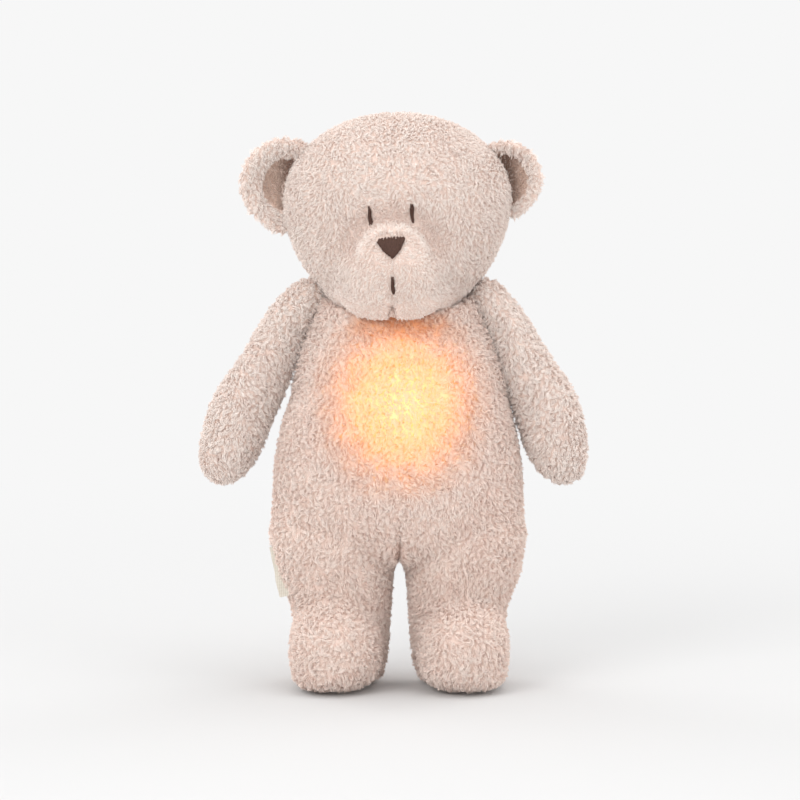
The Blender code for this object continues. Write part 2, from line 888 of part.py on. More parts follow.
# Light unit: shells
def case_screw_places():
    """Where the four case screws stand, as (x, z)."""
    places = []
    for angle_deg in case_screw_angles_deg:
        turn = math.radians(angle_deg)
        x = boss_ring_radius * math.cos(turn)
        z = unit_centre_z + boss_ring_radius * math.sin(turn)
        places.append((x, z))
    return places


def make_front_shell():
    inner = shell_bore
    depth = front_shell_depth
    edge = shell_wall / 2
    profile = (
        (inner, depth), (unit_radius, depth), (unit_radius, edge + edge), (unit_radius - edge, 0),
        (lens_hole_radius, 0), (lens_hole_radius, shell_wall), (inner, shell_wall),
    )
    made = turned("front_shell", profile, (0, flange_y, unit_centre_z), case_plastic, closed=True)
    boss_from = led_board_rear_y + gap

    def bosses(bm):
        for centre in case_screw_places():
            add_round(bm, centre, boss_radius, boss_from, parting_y)

    def holes(bm):
        for centre in case_screw_places():
            hole_from = parting_y - screw_bite - gap
            add_round(bm, centre, screw_hole_radius, hole_from, parting_y + overrun)

    cut(made, grouped("front_bosses", bosses), 'UNION')
    cut(made, grouped("front_holes", holes))
    return made


def make_rear_shell():
    edge = shell_wall / 2
    depth = rear_shell_depth
    profile = ((0, depth), (unit_radius - edge, depth), (unit_radius, depth - edge), (unit_radius, 0), (0, 0))
    made = turned("rear_shell", profile, (0, rear_start_y, unit_centre_z), case_plastic)

    hollow_from = rear_start_y - overrun
    centre = (0, unit_centre_z)
    hollow = cylinder("case_hollow", centre, shell_bore, hollow_from, rear_wall_y, steps=turn_segments)
    speaker_centre = (0, unit_centre_z - speaker_drop)
    ear_centre = (-door_screw_out_x, unit_centre_z + door_screw_up)
    button_places = [(side * button_out_x, unit_centre_z - button_drop) for side in (-1, 1)]
    ring_from = rear_wall_y - speaker_depth - gap - bay_wall
    far_y = rear_y + overrun

    def bay_block(bm):
        low = (-bay_half_length - bay_wall, bay_floor_y - bay_wall, bay_z - bay_half_height - bay_wall)
        high = (bay_half_length + bay_wall, far_y, bay_z + bay_half_height + bay_wall)
        add_block(bm, low, high)

    def posts(bm):
        for centre in case_screw_places():
            add_round(bm, centre, boss_radius, hollow_from - overrun, far_y)

    def rings(bm):
        add_round(bm, speaker_centre, speaker_radius + gap + bay_wall, ring_from, far_y, 28)
        add_round(bm, ear_centre, door_ear_radius + gap + bay_wall / 2, bay_floor_y, far_y)

    def bay_space(bm):
        low = (-bay_half_length, bay_floor_y, bay_z - bay_half_height)
        high = (bay_half_length, far_y, bay_z + bay_half_height)
        add_block(bm, low, high)

    def round_holes(bm):
        add_round(bm, speaker_centre, speaker_radius + gap, ring_from - overrun, rear_wall_y, 28)
        for centre in button_places:
            add_round(bm, centre, button_radius + gap, rear_wall_y - shell_wall, far_y)
        for centre in case_screw_places():
            add_round(bm, centre, screw_hole_radius, rear_start_y - overrun, far_y)
        pilot_from = door_inner_y - gap - screw_bite
        add_round(bm, ear_centre, screw_hole_radius, pilot_from, far_y)

    def recesses(bm):
        add_grille(bm)
        add_knob_slot(bm)
        for side in (-1, 1):
            add_tongue_slot(bm, side)
        for centre in case_screw_places():
            sink_from = rear_y - screw_head_depth - gap - gap
            add_round(bm, centre, screw_head_radius + gap, sink_from, far_y)

    cut(hollow, grouped("bay_block", bay_block))
    cut(hollow, grouped("case_posts", posts))
    cut(hollow, grouped("case_rings", rings))
    cut(made, hollow)
    cut(made, grouped("bay_space", bay_space))
    cut(made, grouped("round_holes", round_holes))
    cut(made, grouped("recesses", recesses))
    cut(made, prism("ear_recess", ear_outline(gap, gap), door_inner_y - gap, far_y))
    return made


def ear_outline(clearance, reach):
    """The door's screw ear, or with a clearance its seat: a round end and a straight bridge."""
    centre_z = unit_centre_z + door_screw_up
    radius = door_ear_radius + clearance
    points = []
    for k in range(13):
        turn = math.pi / 2 + math.pi * k / 12
        points.append((-door_screw_out_x + radius * math.cos(turn), centre_z + radius * math.sin(turn)))
    bridge_x = -bay_half_length + reach
    points.append((bridge_x, centre_z - radius))
    points.append((bridge_x, centre_z + radius))
    return points


def add_grille(bm):
    """The slots in front of the speaker, each shorter than the round face it covers."""
    centre_z = unit_centre_z - speaker_drop
    reach = speaker_radius - grille_slot_width
    for k in range(grille_slots):
        offset = (k - (grille_slots - 1) / 2) * grille_pitch
        half = math.sqrt(reach * reach - offset * offset)
        low_z = centre_z + offset - grille_slot_width / 2
        low = (-half, rear_wall_y - shell_wall, low_z)
        high = (half, rear_y + overrun, low_z + grille_slot_width)
        add_block(bm, low, high)


def knob_z():
    """The height of the slide switch, which stands on the roof of the cell bay."""
    return bay_z + bay_half_height + bay_wall + gap + slide_body_height / 2


def add_knob_slot(bm):
    half_length = (knob_width + knob_travel) / 2 + gap
    half_height = knob_height / 2 + gap
    low = (-half_length, rear_wall_y - shell_wall, knob_z() - half_height)
    high = (half_length, rear_y + overrun, knob_z() + half_height)
    add_block(bm, low, high)


def add_tongue_slot(bm, side):
    half_width = tongue_width / 2 + tongue_play
    centre_x = side * tongue_offset_x
    low = (centre_x - half_width, tongue_y - tongue_play, bay_z + bay_half_height - bay_wall)
    high = (centre_x + half_width, rear_wall_y - gap, bay_z + bay_half_height + bay_wall + bay_wall)
    add_block(bm, low, high)


def make_diffuser():
    """The domed lens, open behind, whose rim lies under the front shell's flange."""
    neck = lens_hole_radius - gap
    rim = neck + lens_rim
    back = dome_rise + shell_wall + gap
    outer = []
    inner = []
    for k in range(6):
        turn = math.pi / 2 * k / 5
        outer.append((neck * math.sin(turn), dome_rise * (1 - math.cos(turn))))
        inner_rise = dome_rise - lens_wall
        inner.append(((neck - lens_wall) * math.sin(turn), lens_wall + inner_rise * (1 - math.cos(turn))))
    profile = inner + [(neck - lens_wall, back + lens_wall), (rim, back + lens_wall)]
    profile += [(rim, back), (neck, back)] + list(reversed(outer))
    return turned("light_diffuser", profile, (0, unit_front_y, unit_centre_z), lens_plastic)


# Light unit: boards, cells, speaker and controls
def make_boards():
    centre = (0, unit_centre_z)
    cylinder("led_board", centre, board_radius, led_board_y, led_board_rear_y, board_green, turn_segments)
    main = cylinder(
        "main_board", centre, board_radius, main_board_y, main_board_rear_y, board_green, turn_segments
    )

    def notches(bm):
        for place in case_screw_places():
            add_round(bm, place, boss_radius + gap, main_board_y - overrun, parting_y)

    cut(main, grouped("board_notches", notches))
    number = 0
    half = led_size / 2
    for row in (-1, 1):
        for column in (-1, 1):
            number += 1
            x = column * led_spread / 2
            z = unit_centre_z + row * led_spread / 2
            low = (x - half, led_board_y - gap - led_rise, z - half)
            high = (x + half, led_board_y - gap, z + half)
            box(f"led_{number}", low, high, led_white, led_rise / 8)
    for side, name in ((-1, "light"), (1, "sound")):
        x = side * button_out_x
        z = unit_centre_z - button_drop
        half_switch = switch_body / 2
        low = (x - half_switch, main_board_rear_y + gap, z - half_switch)
        high = (x + half_switch, switch_top_y, z + half_switch)
        box(f"tact_switch_{name}", low, high, black_plastic, gap)


def make_buttons():
    for side, name in ((-1, "light"), (1, "sound")):
        place = (side * button_out_x, unit_centre_z - button_drop)
        stem_from = switch_top_y + button_travel + gap
        flange_to = rear_wall_y - gap
        flange_from = flange_to - button_flange_thickness
        top = rear_y + button_stand
        edge = button_stand / 3
        flange_radius = button_radius + button_flange
        profile = (
            (0, top - stem_from), (button_radius - edge, top - stem_from),
            (button_radius, top - edge - stem_from), (button_radius, flange_to - stem_from),
            (flange_radius, flange_to - stem_from), (flange_radius, flange_from - stem_from),
            (button_stem_radius, flange_from - stem_from), (button_stem_radius, 0), (0, 0),
        )
        turned(f"button_{name}", profile, (place[0], stem_from, place[1]), button_rubber, 24)


def make_slide_switch():
    z = knob_z()
    flange_rear = rear_wall_y - gap
    flange_front = flange_rear - knob_stand
    x = -knob_travel / 2
    half_width = knob_width / 2
    knob_low = (x - half_width, flange_front, z - knob_height / 2)
    knob_high = (x + half_width, rear_y + knob_stand, z + knob_height / 2)
    knob = box("power_switch_knob", knob_low, knob_high, black_plastic)
    lip = knob_height / 4
    foot_low = (x - half_width - lip, flange_front, z - knob_height / 2 - lip)
    foot_high = (x + half_width + lip, flange_rear, z + knob_height / 2 + lip)
    cut(knob, box("knob_foot", foot_low, foot_high), 'UNION')
    set_pivot(knob, (x, flange_rear, z))
    body_rear = flange_front - gap
    low = (-slide_body_length / 2, body_rear - slide_body_depth, z - slide_body_height / 2)
    high = (slide_body_length / 2, body_rear, z + slide_body_height / 2)
    box("power_switch_body", low, high, black_plastic, gap)


def make_speaker():
    """A small driver: its cone faces the grille, with the magnet at the far side."""
    depth = speaker_depth
    radius = speaker_radius
    rim = radius / 6
    magnet = radius * magnet_radius_share
    profile = (
        (0, depth * dish_floor_share), (radius * dish_radius_share, depth * dish_edge_share),
        (radius - rim, depth), (radius, depth), (radius, depth * frame_back_share),
        (magnet, depth * magnet_height_share), (magnet, 0), (0, 0),
    )
    place = (0, rear_wall_y - gap - depth, unit_centre_z - speaker_drop)
    return turned("speaker", profile, place, black_plastic, 28)


def cell_z(number):
    """The height of a cell's axis, counted from the lowest."""
    return bay_z + cell_pitch * (number - (cell_count - 1) / 2)


def make_cells():
    for number in range(cell_count):
        facing = 1 if number % 2 == 0 else -1
        name = f"battery_{number + 1}"
        tip_radius = cell_radius * cell_tip_share
        shoulder = cell_length * cell_shoulder_share
        bead = cell_radius / 8
        profile = (
            (0, cell_length), (tip_radius, cell_length), (tip_radius, shoulder),
            (cell_radius - bead, shoulder), (cell_radius, shoulder - bead), (cell_radius, bead),
            (cell_radius - bead, 0), (0, 0),
        )
        mesh = bpy.data.meshes.new(name)
        points = [(radius, 0, along) for radius, along in profile]
        edges = [(k, k + 1) for k in range(len(points) - 1)]
        mesh.from_pydata(points, edges, [])
        made = add_object(name, mesh, cell_steel)
        made.rotation_euler = (0, facing * math.pi / 2, 0)
        spring_side = -facing
        start_x = spring_side * (bay_half_length - contact_thickness - spring_length - gap - gap)
        made.location = (start_x, cell_y, cell_z(number))
        add_screw(made, small_turn_segments)
        make_contact_spring(number, spring_side)


def make_contact_spring(number, side):
    """A short coil that presses a cell's flat end."""
    name = f"contact_spring_{number + 1}"
    plate_face = side * (bay_half_length - contact_thickness)
    length = spring_length - spring_wire - spring_wire - gap
    count = int(spring_turns * spring_segments)
    curve = bpy.data.curves.new(name, 'CURVE')
    curve.dimensions = '3D'
    curve.bevel_depth = spring_wire
    curve.bevel_resolution = 1
    curve.use_fill_caps = True
    line = curve.splines.new('POLY')
    line.points.add(count)
    for k in range(count + 1):
        turn = 2 * math.pi * spring_turns * k / count
        along = gap + spring_wire + length * k / count
        radius = spring_radius * (1 - spring_taper_share * k / count)
        x = plate_face - side * along
        y = cell_y + radius * math.cos(turn)
        z = cell_z(number) + radius * math.sin(turn)
        line.points[k].co = (x, y, z, 1)
    made = bpy.data.objects.new(name, curve)
    curve.materials.append(contact_metal)
    parts.objects.link(made)


def make_contacts():
    for side in (-1, 1):
        near = side * (bay_half_length - contact_thickness)
        far = side * (bay_half_length - gap / 2)
        half_height = bay_half_height - cell_radius / 3
        low = (min(near, far), bay_floor_y + gap, bay_z - half_height)
        high = (max(near, far), cell_y + cell_radius / 2, bay_z + half_height)
        box(mirrored_name("contact_plate", side), low, high, contact_metal)


def make_battery_door():
    """The cover of the cells, with two tongues above and a screw ear at its left."""
    low = (-door_half_width, door_inner_y, bay_z - door_half_height)
    high = (door_half_width, rear_y, door_top_z)
    door = box("battery_door", low, high, door_plastic)
    centre_z = unit_centre_z + door_screw_up
    cut(door, prism("door_ear", ear_outline(0, door_thickness), door_inner_y, rear_y), 'UNION')
    for side in (-1, 1):
        x = side * tongue_offset_x
        root_z = door_top_z - tongue_reach
        root_y = door_inner_y + door_thickness / 2
        tip_y = tongue_y + tongue_thickness
        tip_z = door_top_z + tongue_reach
        outline = (
            (tongue_y, root_z), (root_y, root_z), (root_y, door_top_z - gap),
            (tip_y, door_top_z - gap), (tip_y, tip_z), (tongue_y, tip_z),
        )
        name = mirrored_name("door_tongue", side)
        cut(door, side_prism(name, outline, x - tongue_width / 2, x + tongue_width / 2), 'UNION')
    hole = cylinder("door_hole", (-door_screw_out_x, centre_z), screw_hole_radius,
                    door_inner_y - overrun, rear_y + overrun)
    cut(door, hole)
    set_pivot(door, (0, rear_y, door_top_z))
    make_screw("door_screw", (-door_screw_out_x, centre_z), rear_y + gap,
               door_thickness + gap + screw_bite / 2)


def make_screw(name, place, face_y, length):
    """A screw with a round head and a cross recess; the shank's length is under the head."""
    top = face_y + (screw_head_depth if name == "door_screw" else 0)
    under = top - screw_head_depth
    shank_from = under - length
    edge = screw_radius / 2
    profile = (
        (0, top - shank_from), (screw_head_radius - edge, top - shank_from),
        (screw_head_radius, top - edge - shank_from), (screw_head_radius, under - shank_from),
        (screw_radius, under - shank_from), (screw_radius, edge), (screw_radius - edge, 0), (0, 0),
    )
    made = turned(name, profile, (place[0], shank_from, place[1]), screw_steel, screw_segments)
    reach = screw_head_radius * cross_reach_share
    slit = screw_radius / 5
    depth = screw_head_depth / 2
    wide = box(f"{name}_cross", (place[0] - reach, top - depth, place[1] - slit),
               (place[0] + reach, top + overrun, place[1] + slit))
    tall = box(f"{name}_bar", (place[0] - slit, top - depth, place[1] - reach),
               (place[0] + slit, top + overrun, place[1] + reach))
    cut(wide, tall, 'UNION')
    cut(made, wide)
    return made


def make_case_screws():
    for number, place in enumerate(case_screw_places(), 1):
        face_y = rear_y - gap
        length = face_y - screw_head_depth - (parting_y - screw_bite)
        make_screw(f"case_screw_{number}", place, face_y, length)


# Assembly
torso = make_torso()
floor_reach = torso_half_width + overrun
floor_cutter = box("floor_cutter", (-floor_reach, -floor_reach, -overrun), (floor_reach, floor_reach, 0))
make_flap(torso)
torso_clearance = grown_cutter("torso_clearance", torso, gap)
pocket_cutter, seat_cutter = make_pocket_cutters()
cut(torso, make_neck_groove())
cut(torso, pocket_cutter)
cut(torso, seat_cutter)
cut(torso, box("hook_recess", *strip_corners(seat_y - strip_thickness - gap, overrun, gap)))

head = make_head()
head_clearance = grown_cutter("head_clearance", head, stitch_gap)
cut(head, make_neck_socket())
face = make_face()
set_pivot(head, (0, body_centre_y, neck_top_z))
for piece in face:
    carry(piece, head)

for side in (-1, 1):
    ear = make_ear(side)
    cut(ear, head_clearance)
    carry(ear, head)
    arm = make_arm(side)
    set_pivot(arm, seam_point(side, seam_length / 2))
    leg = make_leg(side)
    cut(leg, torso_clearance)

label = make_label()
cut(label, torso_clearance)
cut(label, grown_cutter("leg_clearance", bpy.data.objects["leg_left"], gap))

make_liner()
make_strips()

unit = bpy.data.objects.new("light_unit", None)
unit.location = (0, unit_front_y, unit_centre_z)
parts.objects.link(unit)
before = set(parts.objects)
make_front_shell()
make_rear_shell()
make_diffuser()
make_boards()
make_buttons()
make_slide_switch()
make_speaker()
make_cells()
make_contacts()
make_battery_door()
make_case_screws()
for piece in set(parts.objects) - before:
    carry(piece, unit)
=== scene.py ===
# %% [markdown]
# A stuffed bear with a light in its chest, dressed for the camera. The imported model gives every
# solid, every size and every joint, so this file only adds what a solid can't show: the curly pile,
# the stitching, the cloth and the glow. Each step says first what the real thing is and how it is made here.

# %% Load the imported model
import math

import bmesh
import bpy
import numpy as np
from mathutils import Matrix, Vector, kdtree
from mathutils.bvhtree import BVHTree


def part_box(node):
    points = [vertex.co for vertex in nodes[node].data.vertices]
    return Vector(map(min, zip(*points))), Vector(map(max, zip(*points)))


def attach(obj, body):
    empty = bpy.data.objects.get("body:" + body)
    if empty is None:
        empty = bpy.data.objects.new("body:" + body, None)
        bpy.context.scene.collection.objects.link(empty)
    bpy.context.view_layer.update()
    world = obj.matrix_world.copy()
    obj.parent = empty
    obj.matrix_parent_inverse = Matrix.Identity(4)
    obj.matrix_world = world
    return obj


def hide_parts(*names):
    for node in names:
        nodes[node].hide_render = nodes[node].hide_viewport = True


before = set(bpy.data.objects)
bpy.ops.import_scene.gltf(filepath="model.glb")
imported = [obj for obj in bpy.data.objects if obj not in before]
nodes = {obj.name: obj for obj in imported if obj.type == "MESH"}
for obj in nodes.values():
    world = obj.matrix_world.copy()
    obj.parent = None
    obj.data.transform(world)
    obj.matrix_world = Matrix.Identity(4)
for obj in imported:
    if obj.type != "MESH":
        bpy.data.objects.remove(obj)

scene = bpy.context.scene
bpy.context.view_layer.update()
mm = 0.001

# %% [markdown]
# The photograph is taken from far away, with the bear's soles near the bottom of the frame and the
# camera a little above its middle. A long lens from 3 m keeps the head and the feet at one scale.

# %% Camera
view_distance = 3.0
view_elevation = math.radians(6)
frame_width = 0.512
aim = Vector((0.0013, -0.004, 0.1850))
camera_data = bpy.data.cameras.new("camera")
camera_data.sensor_width = 36
camera_data.lens = view_distance * camera_data.sensor_width / frame_width
camera = bpy.data.objects.new("camera", camera_data)
scene.collection.objects.link(camera)
back_off = Vector((0, -math.cos(view_elevation), math.sin(view_elevation)))
camera.location = aim + back_off * view_distance
camera.rotation_euler = (-back_off).to_track_quat('-Z', 'Y').to_euler()
scene.camera = camera
print("lens", round(camera_data.lens), "mm")


# %% [markdown]
# Every finish below is a small network of nodes. These helpers make the nodes and join them, so that
# a finish reads as a short list of what it is made of.

# %% Helpers for materials
def new_material(name):
    """A material with a Principled shader, and the tree to add to."""
    made = bpy.data.materials.new(name)
    made.use_nodes = True
    tree = made.node_tree
    return made, tree, tree.nodes["Principled BSDF"]


def node(tree, kind, inputs=None, **settings):
    """Adds a node with its settings, then fills or joins its inputs."""
    made = tree.nodes.new(kind)
    for key, value in settings.items():
        setattr(made, key, value)
    for key, value in (inputs or {}).items():
        if isinstance(value, bpy.types.NodeSocket):
            tree.links.new(value, made.inputs[key])
        else:
            made.inputs[key].default_value = value
    return made


def srgb(red, green, blue):
    """A screen colour from 0 to 255, as the linear colour that a shader takes."""
    linear = []
    for value in (red, green, blue):
        share = value / 255
        linear.append(share / 12.92 if share <= 0.04045 else ((share + 0.055) / 1.055) ** 2.4)
    return (*linear, 1.0)


def place_coordinates(tree):
    """Object coordinates, which are metres in the bear's own frame and move with each piece."""
    return node(tree, "ShaderNodeTexCoord").outputs["Object"]


def noise(tree, coordinates, scale, detail=3.0, roughness=0.5):
    return node(tree, "ShaderNodeTexNoise", {"Vector": coordinates, "Scale": scale, "Detail": detail,
                                            "Roughness": roughness}).outputs["Fac"]


def ramp(tree, value, stops):
    """A colour ramp from a list of (place, colour)."""
    made = node(tree, "ShaderNodeValToRGB", {"Fac": value})
    elements = made.color_ramp.elements
    while len(elements) < len(stops):
        elements.new(0.5)
    for element, (place, colour) in zip(elements, stops):
        element.position = place
        element.color = colour
    return made.outputs["Color"]


def mix_colour(tree, share, first, second):
    made = node(tree, "ShaderNodeMix", data_type='RGBA')
    for socket, value in ((0, share), (6, first), (7, second)):
        if isinstance(value, bpy.types.NodeSocket):
            tree.links.new(value, made.inputs[socket])
        else:
            made.inputs[socket].default_value = value
    return made.outputs[2]


def arithmetic(tree, operation, first, second=0.0):
    return node(tree, "ShaderNodeMath", {0: first, 1: second}, operation=operation).outputs[0]


def weighted(tree, first, share, second, other_share):
    """Two values added, each in its share."""
    return arithmetic(tree, 'ADD', arithmetic(tree, 'MULTIPLY', first, share),
                      arithmetic(tree, 'MULTIPLY', second, other_share))


def vectors(tree, operation, first, second=(0, 0, 0)):
    made = node(tree, "ShaderNodeVectorMath", {0: first, 1: second}, operation=operation)
    return made.outputs["Value" if operation == 'LENGTH' else "Vector"]


def along_axis(tree, coordinates, axis):
    return node(tree, "ShaderNodeSeparateXYZ", {0: coordinates}).outputs[axis]


def rising(tree, value, low, high, easing='LINEAR'):
    """0 at the low end and 1 at the high one, held beyond them; it falls where low is the larger."""
    return node(tree, "ShaderNodeMapRange", {"Value": value, "From Min": low, "From Max": high},
                interpolation_type=easing).outputs["Result"]


def add_bump(tree, shader, height, strength, distance):
    made = node(tree, "ShaderNodeBump", {"Height": height, "Strength": strength, "Distance": distance})
    tree.links.new(made.outputs["Normal"], shader.inputs["Normal"])


def set_sockets(shader, values):
    for key, value in values.items():
        shader.inputs[key].default_value = value


black = (0, 0, 0, 1)
white = (1, 1, 1, 1)
print("pure white as a linear colour", srgb(255, 255, 255))


# %% [markdown]
# The plush is a warm pinkish beige, and whole patches are a little pinker or greyer. Its curls are pale at
# their tips, and each hair's colour darkens towards its root, which is painted shade deep in the pile. Each
# hair's mesh carries its own place along the hair and its own tone as two numbers, and the finish mixes those
# with slow noise.
# The lamp behind the chest shines through the cloth, so the same finish holds a round glow that is
# nearly white-yellow at its middle and fades through orange into the plain plush.

# %% Light through the chest
glow_centre = (0.0026, -0.045, 0.187)
glow_squeeze = (1.0, 0.45, 0.92)
glow_edge = 63 * mm
glow_core = 4 * mm
glow_mottle = 20 * mm
glow_behind_y = 15 * mm
glow_front_y = -20 * mm
# Painted shade: just under the chin the lit plush is darkened to orange, where the chin shades the chest.
chin_shade_low_z = 222 * mm
chin_shade_high_z = 238 * mm
chin_shade_tint = (0.86, 0.54, 0.32, 1)
# Painted shade between the curls inside the glow, as darker orange flecks.
curl_shade_tint = (0.96, 0.80, 0.55, 1)
glow_tints = [(0.0, white), (0.18, (1, 0.95, 0.91, 1)), (0.36, (1, 0.91, 0.82, 1)),
              (0.62, (1, 0.90, 0.70, 1)), (0.84, (1, 0.86, 0.66, 1)), (1.0, (1, 0.86, 0.66, 1))]
glow_lights = [(0.0, black), (0.18, (0.012, 0.003, 0.001, 1)), (0.36, (0.060, 0.018, 0.005, 1)),
               (0.62, (0.21, 0.088, 0.026, 1)), (0.84, (0.28, 0.115, 0.055, 1)),
               (1.0, (0.30, 0.130, 0.095, 1))]
gap_lights = [(0.0, black), (0.18, (0.05, 0.014, 0.003, 1)), (0.36, (0.22, 0.07, 0.016, 1)),
              (0.62, (0.55, 0.24, 0.05, 1)), (0.84, (0.70, 0.40, 0.09, 1)), (1.0, (0.75, 0.46, 0.11, 1))]


def glow_share(tree, coordinates):
    """How lit a point is: 1 at the middle of the chest, 0 outside the lamp's reach and on the back."""
    moved = vectors(tree, 'SUBTRACT', coordinates, glow_centre)
    reach = vectors(tree, 'LENGTH', vectors(tree, 'MULTIPLY', moved, glow_squeeze))
    mottle = arithmetic(tree, 'MULTIPLY', noise(tree, coordinates, 130.0), glow_mottle)
    near = arithmetic(tree, 'ADD', reach, arithmetic(tree, 'SUBTRACT', mottle, glow_mottle / 2))
    share = rising(tree, near, glow_edge, glow_core)
    depth = along_axis(tree, coordinates, "Y")
    return arithmetic(tree, 'MULTIPLY', share, rising(tree, depth, glow_behind_y, glow_front_y, 'SMOOTHSTEP'))


def tint(tree, colour, by):
    """A colour multiplied by another."""
    made = mix_colour(tree, 1.0, colour, by)
    made.node.blend_type = 'MULTIPLY'
    return made


def light_through(tree, shader, coordinates, colour, lights):
    """Lets the lamp shine through: yellow at the middle, painted orange shade under the chin, and darker
    flecks of painted shade between the curls.
    """
    share = glow_share(tree, coordinates)
    upper = rising(tree, along_axis(tree, coordinates, "Z"), chin_shade_low_z, chin_shade_high_z, 'SMOOTHSTEP')
    # Painted shade under the chin, in the lamp's orange.
    chin_shade = arithmetic(tree, 'MULTIPLY', upper, ramp(tree, share, [(0.02, black), (0.40, white)]))
    colour = tint(tree, colour, ramp(tree, share, glow_tints))
    colour = mix_colour(tree, chin_shade, colour, tint(tree, colour, chin_shade_tint))
    # Painted shade: small flecks between the curls, darker and more orange, only where the lamp shines
    # through.
    curl_shade_flecks = ramp(tree, noise(tree, coordinates, 330.0, 1.0), [(0.60, black), (0.68, white)])
    curl_shade_flecks = arithmetic(tree, 'MULTIPLY', curl_shade_flecks, ramp(tree, share, [(0.10, black), (0.35, white)]))
    colour = mix_colour(tree, curl_shade_flecks, colour, tint(tree, colour, curl_shade_tint))
    tree.links.new(ramp(tree, share, lights), shader.inputs["Emission Color"])
    set_sockets(shader, {"Emission Strength": 1.0})
    return colour


print("glow reaches", round(glow_edge / mm), "mm from its middle")

# %% [markdown]
# The pile's finish mixes each hair's two numbers with slow patches. On the chest it also takes the light
# from within, and in the cup of an ear it is shaded next to the head, where the fold keeps light out.

# %% Plush finishes
cup_open_x = 81 * mm
cup_deep_x = 69 * mm
cup_tint = (0.42, 0.34, 0.31, 1)


def plush_finish(name, tip, middle, root, lit=False, cup=False):
    """The pile's finish, from the colours of a hair's tip, its middle and its root."""
    made, tree, shader = new_material(name)
    coordinates = place_coordinates(tree)
    along = node(tree, "ShaderNodeAttribute", attribute_name="along").outputs["Fac"]
    tone = node(tree, "ShaderNodeAttribute", attribute_name="tone").outputs["Fac"]
    patches = arithmetic(tree, 'SUBTRACT', noise(tree, coordinates, 28.0, 2.0), 0.5)
    level = weighted(tree, along, 0.55, tone, 0.45)
    level = arithmetic(tree, 'ADD', level, arithmetic(tree, 'MULTIPLY', patches, 0.35))
    # Painted shade: the colour darkens towards each hair's root, down in the pile; the tone and the patches
    # vary at random.
    colour = ramp(tree, level, [(0.08, root), (0.42, middle), (0.92, tip)])
    if cup:
        across = arithmetic(tree, 'ABSOLUTE', along_axis(tree, coordinates, "X"))
        deep = rising(tree, across, cup_open_x, cup_deep_x, 'SMOOTHSTEP')
        colour = mix_colour(tree, deep, colour, tint(tree, colour, cup_tint))
    if lit:
        colour = light_through(tree, shader, coordinates, colour, glow_lights)
        made.cycles.emission_sampling = 'NONE'
    tree.links.new(colour, shader.inputs["Base Color"])
    set_sockets(shader, {"Roughness": 0.92, "Specular IOR Level": 0.12, "Sheen Weight": 0.30,
                         "Sheen Roughness": 0.55})
    return made


plush = plush_finish("plush_pile", srgb(248, 241, 235), srgb(244, 230, 222), srgb(204, 176, 163))
plush_lit = plush_finish("plush_pile_lit", srgb(249, 238, 230), srgb(246, 227, 217),
                         srgb(208, 174, 159), lit=True)
# The cup's pile has darker colours than the rest: painted shade of the ear's hollow.
plush_ear_inner = plush_finish("plush_ear_inner", srgb(236, 214, 200), srgb(220, 192, 175),
                               srgb(184, 152, 136), cup=True)
print("plush finishes", [made.name for made in (plush, plush_lit, plush_ear_inner)])


# %% [markdown]
# Under the pile lies the knitted backing. Where curls part, the backing shows as a dim, rough ground,
# so it is the colour of the hair's roots with a fine bump of loops.

# %% Backing finishes
def backing_finish(name, lit=False):
    made, tree, shader = new_material(name)
    coordinates = place_coordinates(tree)
    loops = noise(tree, coordinates, 900.0, 2.0)
    level = weighted(tree, loops, 0.5, noise(tree, coordinates, 60.0, 3.0), 0.5)
    colour = ramp(tree, level, [(0.2, srgb(214, 190, 178)), (0.8, srgb(234, 214, 203))])
    if lit:
        colour = light_through(tree, shader, coordinates, colour, gap_lights)
        made.cycles.emission_sampling = 'NONE'
    tree.links.new(colour, shader.inputs["Base Color"])
    set_sockets(shader, {"Roughness": 0.95})
    add_bump(tree, shader, loops, 0.6, 0.6 * mm)
    return made


backing = backing_finish("plush_backing")
backing_lit = backing_finish("plush_backing_lit", lit=True)
print("backing finishes", backing.name, backing_lit.name)


# %% [markdown]
# A stuffed form is its sewn cover pressed outward by loose filling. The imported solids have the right
# fullness, so each cover starts as a copy of its solid, is remeshed into small even faces, eased smooth,
# and drawn in by the depth of the pile that will stand on it.

# %% Helpers for the sewn covers
def link(obj):
    scene.collection.objects.link(obj)
    return obj


def mesh_object(name, verts, faces, material=None):
    mesh = bpy.data.meshes.new(name)
    mesh.from_pydata([tuple(v) for v in verts], [], faces)
    mesh.update()
    made = link(bpy.data.objects.new(name, mesh))
    if material:
        mesh.materials.append(material)
    return made


def apply_all(obj):
    """Replaces an object's mesh by what its modifiers make of it."""
    graph = bpy.context.evaluated_depsgraph_get()
    result = bpy.data.meshes.new_from_object(obj.evaluated_get(graph))
    obj.modifiers.clear()
    obj.data = result
    return obj


def round_plug(bm, centre_x, centre_z, radius, front_y, rear_y):
    """Adds a closed drum that lies from front to rear, to fill or to cut a round hollow."""
    turn = Matrix.Rotation(math.pi / 2, 4, 'X')
    place = Matrix.Translation((centre_x, (front_y + rear_y) / 2, centre_z))
    bmesh.ops.create_cone(bm, cap_ends=True, segments=96, radius1=radius, radius2=radius,
                          depth=rear_y - front_y, matrix=place @ turn)


def cover_from(name, sources, voxel, material, ease=4, filling=None):
    """One even mesh from copies of solids, joined where they touch."""
    bm = bmesh.new()
    for source in sources:
        bm.from_mesh(nodes[source].data)
    bmesh.ops.remove_doubles(bm, verts=bm.verts, dist=0.00002)
    if filling:
        round_plug(bm, *filling)
    mesh = bpy.data.meshes.new(name)
    bm.to_mesh(mesh)
    bm.free()
    made = link(bpy.data.objects.new(name, mesh))
    step = made.modifiers.new("even", 'REMESH')
    step.mode = 'VOXEL'
    step.voxel_size = voxel
    soften = made.modifiers.new("ease", 'SMOOTH')
    soften.factor = 0.5
    soften.iterations = ease
    apply_all(made)
    made.data.materials.clear()
    made.data.materials.append(material)
    made.data.shade_smooth()
    return made


